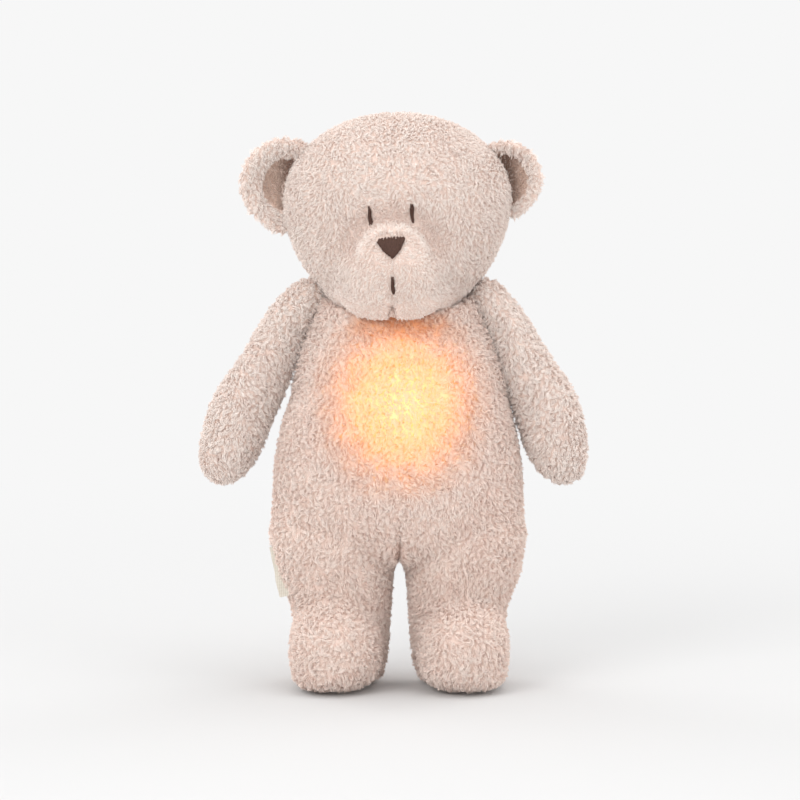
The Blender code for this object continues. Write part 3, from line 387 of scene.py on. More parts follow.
def arrays(obj):
    """Places, normals and triangles of an object's mesh, as arrays."""
    mesh = obj.data
    count = len(mesh.vertices)
    places = np.empty(count * 3)
    mesh.vertices.foreach_get("co", places)
    normals = np.empty(count * 3)
    mesh.vertex_normals.foreach_get("vector", normals)
    mesh.calc_loop_triangles()
    triangles = np.empty(len(mesh.loop_triangles) * 3, np.int32)
    mesh.loop_triangles.foreach_get("vertices", triangles)
    return places.reshape(-1, 3), normals.reshape(-1, 3), triangles.reshape(-1, 3)


def set_places(obj, places):
    obj.data.vertices.foreach_set("co", np.ascontiguousarray(places).ravel())
    obj.data.update()


def solid_tree(name):
    """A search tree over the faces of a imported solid."""
    mesh = nodes[name].data
    corners = [vertex.co for vertex in mesh.vertices]
    return BVHTree.FromPolygons(corners, [tuple(face.vertices) for face in mesh.polygons])


def depth_in(name, places, margin=6 * mm):
    """How deep each place lies in a solid, in metres: negative outside it, down to minus the margin."""
    low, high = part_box(name)
    near = (places > np.array(low) - margin).all(axis=1) & (places < np.array(high) + margin).all(axis=1)
    depths = np.full(len(places), -margin)
    tree = solid_tree(name)
    for number in np.flatnonzero(near):
        place = Vector(places[number])
        found, normal, _, distance = tree.find_nearest(place)
        inside = (found - place).dot(normal) > 0
        depths[number] = distance if inside else max(-distance, -margin)
    return depths


def smooth_step(values, low, high):
    """0 below the low end, 1 above the high one, and an easy curve between."""
    share = np.clip((values - low) / (high - low), 0, 1)
    return share * share * (3 - 2 * share)


def bell(values, middle, width):
    """1 at the middle, falling to 0 on both sides of it."""
    return np.exp(-((values - middle) / width) ** 2)


def draw_in(obj, depth):
    """Moves a cover in along its normals; the depth is a number or one for each point."""
    places, normals, _ = arrays(obj)
    depth = np.broadcast_to(np.asarray(depth, float), len(places))
    set_places(obj, places - normals * depth[:, None])


# %% [markdown]
# The pile is what makes the bear. It is short, curly and matted into locks a few millimetres wide that
# mostly lie downward. Blender's own hair would not be kept as a mesh, so each lock is built here from
# thin tapered hairs with three sides: the roots are spread evenly over the cover, each hair leans the way
# its lock leans, and the tips of one lock are drawn together.

# %% Helpers for the pile
def wave_field(places, seed, wavelength):
    """A smooth random vector for each place, from a few crossed waves."""
    rng = np.random.default_rng(seed)
    total = np.zeros_like(places)
    for _ in range(5):
        direction = rng.normal(size=(3, 3))
        direction /= np.linalg.norm(direction, axis=1, keepdims=True)
        phase = rng.uniform(0, 2 * np.pi, 3)
        scale = 2 * np.pi / (wavelength * rng.uniform(0.7, 1.4))
        total += np.sin(places @ direction.T * scale + phase)
    return total / 3


def unit_rows(rows):
    """Each row's direction, with a length of 1."""
    return rows / np.maximum(np.linalg.norm(rows, axis=1, keepdims=True), 1e-9)


def spread_roots(obj, density, seed, keep=None):
    """Random roots over a cover, as many to each area as its size asks for."""
    rng = np.random.default_rng(seed)
    places, normals, triangles = arrays(obj)
    corners = places[triangles]
    areas = np.linalg.norm(np.cross(corners[:, 1] - corners[:, 0], corners[:, 2] - corners[:, 0]), axis=1) / 2
    count = int(areas.sum() * density)
    steps = (np.arange(count) + rng.uniform(0, 1, count)) / count * areas.sum()
    picked = np.minimum(np.searchsorted(np.cumsum(areas), steps), len(areas) - 1)
    a = rng.uniform(0, 1, count)
    b = rng.uniform(0, 1, count)
    flip = a + b > 1
    a[flip] = 1 - a[flip]
    b[flip] = 1 - b[flip]
    weights = np.stack([1 - a - b, a, b], axis=1)[:, :, None]
    roots = (corners[picked] * weights).sum(1)
    ways = unit_rows((normals[triangles[picked]] * weights).sum(1))
    if keep is not None:
        kept = keep(roots, ways)
        roots, ways = roots[kept], ways[kept]
    return roots, ways


def nearest(points, seeds):
    """The number of the nearest seed to each point."""
    tree = kdtree.KDTree(len(seeds))
    for number, seed in enumerate(seeds):
        tree.insert(seed, number)
    tree.balance()
    return np.array([tree.find(point)[1] for point in points])


def hair_mesh(name, lines, radii, tones, ways, material):
    """Tapered hairs with three sides from lines of points, each closed at its root and its tip.

    A thin hair shaded by its own faces alone looks like wire. So each face is shaded by a blend of its own
    normal and the cover's, which is turned to the face's side where it points away from it.
    """
    count, rings, _ = lines.shape
    rng = np.random.default_rng(5)
    lift = ways[:, None, :]
    ways = unit_rows((lines[:, 1:] - lines[:, :-1]).reshape(-1, 3)).reshape(count, rings - 1, 3)
    ways = np.concatenate([ways[:, :1], ways], axis=1)
    helper = unit_rows(rng.normal(size=(count, 3)))[:, None, :]
    side = np.cross(ways, helper)
    side /= np.maximum(np.linalg.norm(side, axis=2, keepdims=True), 1e-9)
    other = np.cross(ways, side)
    turns = 2 * math.pi * np.arange(3)[:, None] / 3
    offsets = side[:, :, None] * np.cos(turns) + other[:, :, None] * np.sin(turns)
    body = lines[:, :, None] + offsets * radii[None, :, None, None]
    body = body[:, :-1].reshape(count, (rings - 1) * 3, 3)
    tips = lines[:, -1:, :]
    per = (rings - 1) * 3 + 1
    places = np.concatenate([body, tips], axis=1).reshape(-1, 3)
    start = (np.arange(count) * per)[:, None]
    quads = []
    for ring in range(rings - 2):
        for corner in range(3):
            after = (corner + 1) % 3
            low = ring * 3
            quads.append((low + corner, low + after, low + 3 + after, low + 3 + corner))
    quads = (start[:, :, None] + np.array(quads)[None]).reshape(-1, 4)
    last = (rings - 2) * 3
    caps = [(last, last + 1, per - 1), (last + 1, last + 2, per - 1), (last + 2, last, per - 1), (2, 1, 0)]
    caps = (start[:, :, None] + np.array(caps)[None]).reshape(-1, 3)
    mesh = bpy.data.meshes.new(name)
    mesh.vertices.add(len(places))
    mesh.vertices.foreach_set("co", places.ravel())
    loops = np.concatenate([quads.ravel(), caps.ravel()]).astype(np.int32)
    mesh.loops.add(len(loops))
    mesh.loops.foreach_set("vertex_index", loops)
    sizes = np.concatenate([np.full(len(quads), 4), np.full(len(caps), 3)])
    starts = np.concatenate([[0], np.cumsum(sizes)[:-1]]).astype(np.int32)
    mesh.polygons.add(len(sizes))
    mesh.polygons.foreach_set("loop_start", starts)
    mesh.update(calc_edges=True)
    along = np.tile(np.append(np.repeat(np.linspace(0, 1, rings)[:-1], 3), 1.0), count)
    for key, values in (("along", along), ("tone", np.repeat(tones, per))):
        mesh.attributes.new(key, 'FLOAT', 'POINT').data.foreach_set("value", values.astype(np.float32))
    add_hair_map(mesh, loops, per, along, count)
    mesh.materials.append(material)
    mesh.shade_smooth()
    own = -np.roll(offsets, 1, axis=2)
    own_quads = own[:, :-2].reshape(-1, 3)
    own_caps = np.concatenate([own[:, -2], -ways[:, :1]], axis=1).reshape(-1, 3)
    own = np.concatenate([own_quads, own_caps])
    soft = np.concatenate([np.repeat(lift, (rings - 2) * 3, axis=1).reshape(-1, 3),
                           np.repeat(lift, 4, axis=1).reshape(-1, 3)])
    facing = (own * soft).sum(1, keepdims=True)
    soft = soft - 2 * np.minimum(facing, 0) * own
    shaded = unit_rows(own * (1 - soft_normal_share) + soft * soft_normal_share)
    mesh.attributes.new("custom_normal", 'FLOAT_VECTOR', 'FACE').data.foreach_set("vector", shaded.ravel())
    return link(bpy.data.objects.new(name, mesh))


def add_hair_map(mesh, loops, per, along, count):
    """A texture map with a small cell for each hair, so that nothing has to be unwrapped."""
    across = math.ceil(math.sqrt(count))
    hair = loops // per
    inside = loops % per
    u = (hair % across + 0.15 + 0.7 * (inside % 3) / 2) / across
    v = (hair // across + 0.1 + 0.8 * along[loops]) / across
    layer = mesh.uv_layers.new(name="OFBake")
    layer.data.foreach_set("uv", np.stack([u, v], axis=1).astype(np.float32).ravel())


# %% [markdown]
# A pile takes its own roots and those of its locks. Each hair follows its lock's lie, height and curl, is
# gathered towards the lock's middle, and bends once on its way. A long pile is split by height into
# pieces of a size that the export keeps whole.

# %% Growing a pile
hair_limit = 19000
soft_normal_share = 0.72


def grow_pile(name, cover, comb, body, material, density=1.7e6, height=2.3 * mm, lean=3.3 * mm,
              lock_size=3.0 * mm, wild=0.9, gather=0.45, root_radius=0.21 * mm, seed=1, keep=None, short=None,
              seam_tone_and_painted_light=None):
    """Covers a form with curled locks of hair and splits them into pieces that ride on the body."""
    rng = np.random.default_rng(seed)
    roots, ways = spread_roots(cover, density, seed, keep)
    lock_roots, lock_ways = spread_roots(cover, 1 / (lock_size * lock_size * 0.8), seed + 50, keep)
    owner = nearest(roots, lock_roots)
    swirl = wave_field(lock_roots, seed + 7, 0.035) + wild * rng.normal(size=lock_roots.shape)
    lay = comb(lock_roots, lock_ways) + swirl * 0.75
    lay -= lock_ways * (lay * lock_ways).sum(1, keepdims=True)
    lay = unit_rows(lay)
    lock_height = height * rng.uniform(0.65, 1.25, len(lock_roots))[:, None]
    lock_lean = lean * rng.uniform(0.6, 1.3, len(lock_roots))[:, None]
    lock_tone = rng.uniform(0, 1, len(lock_roots))
    lock_curl = rng.uniform(-1, 1, len(lock_roots))[:, None]
    size = rng.uniform(0.8, 1.15, len(roots))[:, None]
    if short is not None:
        size = size * short(roots)[:, None]
    away = roots - lock_roots[owner]
    reach = np.linalg.norm(away, axis=1, keepdims=True) / (lock_size * 0.55)
    rise = lock_height[owner] * size * (1.05 - 0.50 * np.clip(reach, 0, 1.2) ** 2)
    along = lay[owner] * lock_lean[owner] * size
    across = np.cross(ways, lay[owner]) * lock_curl[owner] * lean * size * 0.45
    fuzz = rng.normal(size=roots.shape) * 0.30 * mm
    middle = roots + ways * rise + along * 0.42 + across * 0.2 - away * gather * 0.35 + fuzz * 0.5
    tip = roots + ways * rise * 0.80 + along + across - away * gather + fuzz
    first = roots - ways * 0.5 * mm
    lines = np.stack([first, middle, tip], axis=1)
    radii = np.array([1.0, 0.85, 0.0]) * root_radius
    tones = lock_tone[owner] * 0.6 + rng.uniform(0, 0.4, len(roots))
    # Lowers the tone where the map is positive and raises it where it is negative: in seams the darker pile
    # is partly the backing showing and partly painted shade, in creases it is painted shade, and a raised
    # tone is a painted highlight.
    if seam_tone_and_painted_light is not None:
        tones = tones - 0.6 * seam_tone_and_painted_light(roots)
    tones = np.clip(tones, 0, 1)
    order = np.argsort(roots[:, 2], kind="stable")
    pieces = max(1, math.ceil(len(order) / hair_limit))
    for number, chosen in enumerate(np.array_split(order, pieces), 1):
        piece = hair_mesh(f"{name}_{number}", lines[chosen], radii, tones[chosen], ways[chosen], material)
        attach(piece, body)
    print(name, "hairs", len(roots), "in", pieces, "pieces")


def comb_down(roots, ways):
    """The lie of the pile on an upright form: straight down."""
    return np.tile((0.0, 0.0, -1.0), (len(roots), 1))


# %% [markdown]
# The body and the legs are sewn from the same panels, with no sharp line between belly and thigh, so
# their three solids are joined into one cover. Its back holds the pocket, which stays bare inside.

# %% Where the pocket and the seams lie
back_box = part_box("back_flap")
flap_outline_radius = (back_box[1].x - back_box[0].x) / 2
flap_high_z = back_box[1].z - flap_outline_radius
flap_low_z = back_box[0].z + flap_outline_radius
pile_depth = 2.0 * mm


def inside_flap(places, grow):
    """Whether a place lies inside the flap's outline, seen from behind."""
    nearest_z = np.clip(places[:, 2], flap_low_z, flap_high_z)
    reach = np.hypot(places[:, 0], places[:, 2] - nearest_z)
    return (places[:, 1] > 0) & (reach < flap_outline_radius + grow)


pocket_low, pocket_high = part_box("pocket_liner")
pocket_centre_z = (pocket_low.z + pocket_high.z) / 2
pocket_radius = (pocket_high.x - pocket_low.x) / 2
pocket_front_y = pocket_low.y - 0.3 * mm
chest_wall = 1.2 * mm


def pocket_reach(places):
    return np.hypot(places[:, 0], places[:, 2] - pocket_centre_z)


def inside_pocket(places, ways):
    """Whether a place lies on the wall of the hollow that takes the light unit."""
    within = (pocket_reach(places) < pocket_radius + 1 * mm) & (places[:, 1] > pocket_front_y - 0.5 * mm)
    return within & (ways[:, 1] > -0.2)


arm_seam = np.array((0.0559, 0.008, 0.2276))
arm_seam_way = np.array((-0.3567, 0.0, 0.9342))


def near_arm_seam(places, reach=11 * mm):
    """1 on the seams that the arms hang from, falling to 0 a finger's breadth away."""
    mirrored = np.stack([np.abs(places[:, 0]), places[:, 1], places[:, 2]], axis=1) - arm_seam
    along = mirrored @ arm_seam_way
    beyond = np.clip(np.abs(along) - 32 * mm, 0, None)
    away = np.linalg.norm(mirrored - along[:, None] * arm_seam_way, axis=1) + beyond
    return np.clip(1.6 - away / reach, 0, 1)


def body_seam_share(places):
    """1 on the front and back centre seams above the crotch, fading to 0 beside and above them."""
    beside = np.exp(-((places[:, 0] - 0.0008) / (2.0 * mm)) ** 2)
    above = np.clip((0.112 - places[:, 2]) / 0.018, 0, 1) * (places[:, 2] > 0.070)
    return beside * above


print("pocket radius", round(pocket_radius / mm, 1), "mm, its front wall", round(chest_wall / mm, 1), "mm")

# %% [markdown]
# The photographed bear is wider at the hips than any straight form, narrower at its left waist, and its
# shins lean a little, so the cover is pushed out or in by soft bells of a few millimetres.

# %% Body cover, hips and waist
hip_z = 0.103
thigh_z = 0.090
waist_z = 0.194
pocket_filling = (0, pocket_centre_z, pocket_radius + 1.2 * mm, pocket_front_y, pocket_high.y + 0.2 * mm)
body_cover = cover_from("body_cover", ("torso", "leg_left", "leg_right"), 2.5 * mm, backing_lit, ease=6,
                        filling=pocket_filling)
body_places = arrays(body_cover)[0]
hip = 4.2 * mm * bell(body_places[:, 2], hip_z, 0.013)
hip = hip + 1.6 * mm * bell(body_places[:, 2], thigh_z, 0.030)
hip = hip * smooth_step(np.abs(body_places[:, 0]), 0.045, 0.070)
body_places[:, 0] += np.sign(body_places[:, 0]) * hip
waist_left = bell(body_places[:, 2], waist_z, 0.016) * smooth_step(-body_places[:, 0], 0.045, 0.062)
body_places[:, 0] += 3.0 * mm * waist_left
low_leg = 1 - smooth_step(body_places[:, 2], 0.070, 0.090)
inner_left = low_leg * smooth_step(body_places[:, 0], -0.030, -0.012) * (body_places[:, 0] < 0)
outer_right = low_leg * smooth_step(body_places[:, 0], 0.050, 0.066)
body_places[:, 0] += 2.2 * mm * inner_left + 1.6 * mm * outer_right
print("cover points", len(body_places))

# %% [markdown]
# A stuffed foot is sewn from a sole and an upper, so its edge turns under in a roll of about 19 mm and its
# toes are squarer than a circle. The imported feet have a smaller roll, which is widened here.

# %% Feet
sole_roll = 19 * mm
packed_roll = 7 * mm
toe_power = 2.7

def fillet(heights, radius):
    """How far a rounded lower edge lies in from the wall above it, at each height."""
    drop = np.clip(radius - heights, 0, radius)
    return radius - np.sqrt(radius * radius - drop * drop)


for hand in ("left", "right"):
    leg_low, leg_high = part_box(f"leg_{hand}")
    foot_middle = (leg_low + leg_high) / 2
    foot_half = (leg_high - leg_low) / 2
    side = -1 if hand == "left" else 1
    own_leg = body_places[:, 0] * side > 0
    gain = fillet(body_places[:, 2], sole_roll) - fillet(body_places[:, 2], packed_roll)
    outer = smooth_step((body_places[:, 0] - foot_middle.x) * side, -0.020, 0.020)
    gain = gain * own_leg * (0.45 + 0.55 * outer)
    for axis, middle, half in ((0, foot_middle.x, foot_half.x), (1, foot_middle.y, foot_half.y)):
        away = body_places[:, axis] - middle
        body_places[:, axis] = middle + away * half / (half - np.minimum(gain, 0.45 * half))
    toe_middle_y = leg_low.y + foot_half.x
    beside = np.abs(body_places[:, 0] - foot_middle.x) / foot_half.x
    ahead = np.clip(toe_middle_y - body_places[:, 1], 0, None) / foot_half.x
    reach = np.hypot(beside, ahead)
    square = (beside ** toe_power + ahead ** toe_power) ** (1 / toe_power)
    low_foot = (1 - smooth_step(body_places[:, 2], 0.030, 0.056)) * own_leg * (0.5 + 0.5 * outer)
    stretch = 1 + (reach / np.maximum(square, 1e-6) - 1) * low_foot * smooth_step(ahead, 0.0, 0.2)
    body_places[:, 0] = foot_middle.x + (body_places[:, 0] - foot_middle.x) * stretch
    body_places[:, 1] = toe_middle_y + (body_places[:, 1] - toe_middle_y) * stretch
set_places(body_cover, body_places)
print("foot half width", round(foot_half.x / mm, 1), "mm")

# %% [markdown]
# The cover is drawn in by the depth of its pile, and less where something lies on it: under the flap,
# over the lamp, at the soles and beneath the head. It is drawn deeper along the centre seams, and swells
# at the seams of the arms. Then the pocket is cut open to the back.

# %% Body cover drawn in and opened
body_depth = np.where(inside_flap(body_places, 1.5 * mm), 0.2 * mm, pile_depth)
over_pocket = 1 - smooth_step(pocket_reach(body_places), pocket_radius, pocket_radius + 12 * mm)
over_pocket = over_pocket * (body_places[:, 1] < -0.02)
thin_depth = np.clip(pocket_front_y - chest_wall - body_places[:, 1], 0.3 * mm, pile_depth)
body_depth = body_depth * (1 - over_pocket) + thin_depth * over_pocket
body_depth = np.minimum(body_depth, np.maximum(0.2 * mm, body_places[:, 2] - 0.4 * mm))
shoulder_share = np.clip((body_places[:, 2] - 0.228) / 0.016, 0, 1)
body_depth = body_depth * (1 - shoulder_share) + 0.3 * mm * shoulder_share
body_depth = body_depth - 2.4 * mm * near_arm_seam(body_places)
body_depth = body_depth + 4.2 * mm * body_seam_share(body_places)
draw_in(body_cover, body_depth)


def cut_round(obj, centre_x, centre_z, radius, front_y, rear_y):
    """Cuts a round hollow into a cover."""
    bm = bmesh.new()
    round_plug(bm, centre_x, centre_z, radius, front_y, rear_y)
    mesh = bpy.data.meshes.new("cutter")
    bm.to_mesh(mesh)
    bm.free()
    cutter = link(bpy.data.objects.new("cutter", mesh))
    step = obj.modifiers.new("hollow", 'BOOLEAN')
    step.operation = 'DIFFERENCE'
    step.solver = 'EXACT'
    step.object = cutter
    apply_all(obj)
    bpy.data.objects.remove(cutter)
    obj.data.shade_smooth()
    obj.data.set_sharp_from_angle(angle=math.radians(50))


cut_round(body_cover, 0, pocket_centre_z, pocket_radius + 0.1 * mm, pocket_front_y, pocket_high.y + 20 * mm)
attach(body_cover, "body")
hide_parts("torso", "leg_left", "leg_right")

print("body cover faces", len(body_cover.data.polygons))

# %% [markdown]
# The body's pile lies downward all over. It is shorter near the floor and in the seams.

# %% Body pile
def body_hair(roots, ways):
    """Pile stands everywhere but in the pocket, where the head sits on the neck, and on the soles."""
    under_head = depth_in("head", roots) > 1.0 * mm
    sole = (roots[:, 2] < 2.5 * mm) & (ways[:, 2] < -0.6)
    return ~inside_flap(roots, 0.5 * mm) & ~inside_pocket(roots, ways) & ~under_head & ~sole


def body_length(roots):
    """Hair is shorter near the floor, where the bear stands on it, and in the seams."""
    near_floor = np.clip(0.35 + roots[:, 2] / (9 * mm), 0.35, 1)
    shaggy_foot = 1 + 0.10 * (1 - smooth_step(roots[:, 2], 0.050, 0.062)) * (roots[:, 1] < -0.01)
    seams = (1 - 0.55 * body_seam_share(roots)) * (1 + 0.3 * near_arm_seam(roots))
    return near_floor * shaggy_foot * seams


# The centre seams get darker pile: partly the backing showing, partly painted shade of their groove.
grow_pile("body_pile", body_cover, comb_down, "body", plush_lit, seed=11, keep=body_hair, short=body_length,
          density=2.0e6, lock_size=2.9 * mm, root_radius=0.20 * mm, seam_tone_and_painted_light=body_seam_share)

# %% [markdown]
# The head is one stuffed ball with a low, wide muzzle. Its pile runs out from the nose in all
# directions and hangs over the chin.

# %% Head cover and the lines of its face
head_cover = cover_from("head_cover", ("head",), 1.7 * mm, backing, ease=6)
face_centre = np.array((-0.0038, -0.052, 0.280))
seam_x = -0.0036


def face_share(places):
    """1 at the middle of the face, falling to 0 past the muzzle."""
    return np.exp(-(np.linalg.norm(places - face_centre, axis=1) / 0.036) ** 3)


def head_seam_share(places):
    """1 on the seam that notches the chin and, weaker, on the one that runs over the crown."""
    beside = np.exp(-((places[:, 0] - seam_x) / (1.9 * mm)) ** 2)
    chin = np.clip((0.2515 - places[:, 2]) / 0.006, 0, 1) * (places[:, 1] < -0.03)
    under_nose = 0.22 * (places[:, 2] < 0.281) * (places[:, 1] < -0.03)
    crown = 0.20 * np.clip((places[:, 2] - 0.318) / 0.010, 0, 1)
    return beside * np.maximum(np.maximum(chin, crown), under_nose)


muzzle_middle = np.array((-0.0033, 0.280))
muzzle_half = np.array((0.0248, 0.0225))


def muzzle_reach(places):
    """How far out from the muzzle's middle a place lies, seen from the front: its rim is at 1."""
    return np.linalg.norm((places[:, [0, 2]] - muzzle_middle) / muzzle_half, axis=1)


def crease_share(places):
    """1 in the crease over the muzzle, fading faster down its roll than up between the eyes."""
    reach = muzzle_reach(places) - 1.03
    width = np.where(reach > 0, 0.38, 0.11)
    upper = smooth_step(places[:, 2], 0.272, 0.290) * (places[:, 1] < -0.02)
    return np.exp(-(reach / width) ** 2) * upper


def roll_share(places):
    """1 along the thick rolled edge that the muzzle's top panel makes."""
    upper = smooth_step(places[:, 2], 0.274, 0.290) * (places[:, 1] < -0.02)
    return np.exp(-((muzzle_reach(places) - 0.86) / 0.12) ** 2) * upper


brow_z = 0.327
head_places = arrays(head_cover)[0]
brow_up = (head_places[:, 2] - brow_z) / 0.011
brow_across = (head_places[:, 0] - seam_x) / 0.028
brow_share = np.exp(-brow_up ** 2 - brow_across ** 2)
brow_share = brow_share * (head_places[:, 1] < -0.02)
pushed = 6.2 * mm * crease_share(head_places) - 2.2 * mm * roll_share(head_places) - 2.2 * mm * brow_share
head_places[:, 1] += pushed
left_cheek = smooth_step(-head_places[:, 0], 0.035, 0.060)
left_cheek = left_cheek * (1 - smooth_step(head_places[:, 2], 0.300, 0.325))
head_places[:, 0] -= 1.6 * mm * left_cheek
chin_share = 1 - smooth_step(head_places[:, 2], 0.242, 0.258)
chin_share = chin_share * (1 - smooth_step(head_places[:, 1], -0.045, -0.030))
head_places[:, 2] += 1.6 * mm * chin_share
set_places(head_cover, head_places)
jaw_share = np.clip((0.262 - head_places[:, 2]) / 0.012, 0, 1)
head_depth = pile_depth - 0.8 * mm * face_share(head_places)
head_depth = head_depth * (1 - jaw_share) + 0.6 * mm * jaw_share
notch_share = head_seam_share(head_places) * (1 - smooth_step(head_places[:, 2], 0.246, 0.256))
draw_in(head_cover, head_depth + 3.2 * mm * head_seam_share(head_places) + 1.4 * mm * notch_share)
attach(head_cover, "head_body")
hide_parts("head")
print("head cover faces", len(head_cover.data.polygons))

# %% [markdown]
# The pile of the face is combed away from the nose and is short there. Under the needlework it is pressed
# flat, so no hair is grown.

# %% Head pile
nose_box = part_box("nose")
nose_place = np.array((nose_box[0] + nose_box[1]) / 2)


def comb_from_nose(roots, ways):
    """Away from the nose over the face, and down elsewhere."""
    away = roots - nose_place
    reach = np.linalg.norm(away, axis=1, keepdims=True)
    share = np.exp(-reach / 0.035)
    under_chin = smooth_step(-roots[:, 2:3], -0.262, -0.250)
    down = np.array((0, 0, -1.0)) * (1 - under_chin) + np.array((0, 1.0, 0.1)) * under_chin
    share = share * (1 - under_chin)
    return unit_rows(away) * share * 1.3 + down * (1 - share)


stitched_boxes = [(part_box(name), name) for name in ("eye_left", "eye_right", "nose", "mouth")]


def under_stitches(roots):
    """Roots that the needlework has pressed flat."""
    found = np.zeros(len(roots), bool)
    for (low, high), name in stitched_boxes:
        half = (high - low) / 2
        centre = (high + low) / 2
        width = half.x + 0.5 * mm
        across = np.abs(roots[:, 0] - centre.x)
        up = (roots[:, 2] - centre.z) / (half.z + 0.4 * mm)
        if name == "nose":
            centre = centre - Vector((0.6 * mm, 0, 0))
            width = width * np.clip(0.62 + 0.50 * up, 0.12, 1.0)
        found |= (across < width) & (np.abs(up) < 1) & (roots[:, 1] < -0.02)
    return found


def head_hair(roots, ways):
    """No pile where the head sits on the neck, or under the stitching."""
    in_socket = depth_in("torso", roots) > 0.6 * mm
    return ~in_socket & ~under_stitches(roots)


def face_length(roots):
    """Shorter pile on the muzzle, in its crease and round the stitching."""
    seams = (1 - 0.5 * head_seam_share(roots)) * (1 - 0.35 * crease_share(roots))
    seams = seams * (1 - 0.55 * smooth_step(-roots[:, 2], -0.258, -0.246))
    return (0.95 - 0.32 * face_share(roots)) * seams


# The crease over the muzzle and the seams get darker pile, which is painted shade (on the seams partly the
# backing showing), and the muzzle's roll gets lighter pile, which is a painted highlight.
grow_pile("head_pile", head_cover, comb_from_nose, "head_body", plush, seed=21, keep=head_hair,
          short=face_length, density=2.3e6, wild=0.55, height=2.0 * mm, lock_size=2.2 * mm,
          root_radius=0.19 * mm,
          seam_tone_and_painted_light=lambda roots: 1.5 * crease_share(roots) + head_seam_share(roots) - 0.5 * roll_share(roots))


# %% [markdown]
# The eyes, the nose and the mouth are satin stitch: rows of thick brown thread, packed side by side
# over the pile. The eyes and the mouth are sewn across, the nose from top to bottom. Each row is a
# short tube that follows the face's curve and dips in at both ends.

# %% Stitched face
thread_finish, tree, shader = new_material("embroidery_thread")
coordinates = place_coordinates(tree)
twist = noise(tree, coordinates, 2400.0, 2.0)
strands = ramp(tree, twist, [(0.25, srgb(54, 34, 28)), (0.75, srgb(96, 68, 57))])
tree.links.new(strands, shader.inputs["Base Color"])
set_sockets(shader, {"Roughness": 0.6, "Specular IOR Level": 0.25})
add_bump(tree, shader, twist, 0.4, 0.0002)


def tube_mesh(name, lines, radii, sides, material):
    """Closed tubes along lines of points, all with the same radii from end to end."""
    verts = []
    faces = []
    for line in lines:
        line = [Vector(point) for point in line]
        first = len(verts)
        for k, point in enumerate(line):
            ahead = line[min(k + 1, len(line) - 1)] - line[max(k - 1, 0)]
            side = ahead.orthogonal().normalized() if k == 0 else side
            side = (side - ahead * side.dot(ahead) / ahead.length_squared).normalized()
            other = ahead.normalized().cross(side)
            for corner in range(sides):
                turn = 2 * math.pi * corner / sides
                verts.append(point + (side * math.cos(turn) + other * math.sin(turn)) * radii[k])
        for k in range(len(line) - 1):
            for corner in range(sides):
                after = (corner + 1) % sides
                low = first + k * sides
                faces.append((low + corner, low + after, low + sides + after, low + sides + corner))
        faces.append(tuple(first + corner for corner in reversed(range(sides))))
        last = first + (len(line) - 1) * sides
        faces.append(tuple(last + corner for corner in range(sides)))
    made = mesh_object(name, verts, faces, material)
    made.data.shade_smooth()
    return made


cover_corners = [vertex.co for vertex in head_cover.data.vertices]
face_tree = BVHTree.FromPolygons(cover_corners, [tuple(face.vertices) for face in head_cover.data.polygons])
stitch_lift = 1.1 * mm


def on_face(x, z, above):
    """The point of the face's pile behind a front view's place, raised off it."""
    place, normal, _, _ = face_tree.ray_cast(Vector((x, -0.2, z)), Vector((0, 1, 0)))
    return place + normal * (above + stitch_lift)


def stroke(name, top, bottom, width, rows, swell, wave):
    """An upright stroke of threads sewn across, narrow at both ends and thicker at one of them."""
    lines = []
    for k in range(rows):
        share = k / (rows - 1)
        x = top[0] + (bottom[0] - top[0]) * share + wave * math.sin(share * 9.0)
        z = top[1] + (bottom[1] - top[1]) * share
        ends = min(1.0, 0.55 + 2.4 * min(share, 1 - share))
        half = width / 2 * ends * (1 + swell * (share - 0.5)) * (1 + 0.06 * math.sin(k * 2.4))
        slant = 0.12 * mm * math.sin(k * 1.7)
        line = []
        for place, above in ((-1, 0.0), (-0.72, 0.8), (0, 1.1), (0.72, 0.8), (1, 0.0)):
            line.append(on_face(x + half * place, z + slant * place, above * mm))
        lines.append(line)
    made = tube_mesh(name, lines, [0.27 * mm] * 5, 6, thread_finish)
    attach(made, "head_body")
    return made


eye_width = 2.0 * mm
eye_rows = 28
mouth_width = 2.3 * mm
mouth_rows = 24
eye_strokes = (("left", 1.5 * mm, -0.5 * mm, 0.7, 0.22 * mm, 0.0),
               ("right", 0.4 * mm, 0.9 * mm, -0.7, 0.06 * mm, -1.0 * mm))
for hand, lean, lift, swell, wave, shift in eye_strokes:
    low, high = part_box(f"eye_{hand}")
    middle_x = (low.x + high.x) / 2 + shift
    top = (middle_x - lean / 2, high.z + lift)
    bottom = (middle_x + lean / 2, low.z + lift)
    eye = stroke(f"eye_{hand}_stitches", top, bottom, eye_width, eye_rows, swell, wave)
    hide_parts(f"eye_{hand}")
low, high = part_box("mouth")
middle_x = (low.x + high.x) / 2 + 0.7 * mm
mouth_top = (middle_x - 0.3 * mm, high.z)
mouth_bottom = (middle_x + 0.5 * mm, low.z)
mouth = stroke("mouth_stitches", mouth_top, mouth_bottom, mouth_width, mouth_rows, 0.3, 0.05 * mm)
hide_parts("mouth")
print("rows in an eye", eye_rows, "and in the mouth", mouth_rows)

# %% [markdown]
# The nose is a rounded triangle with a ragged upper edge, where long and short stitches take turns. Its
# two edges are drawn through a few heights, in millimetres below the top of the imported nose.

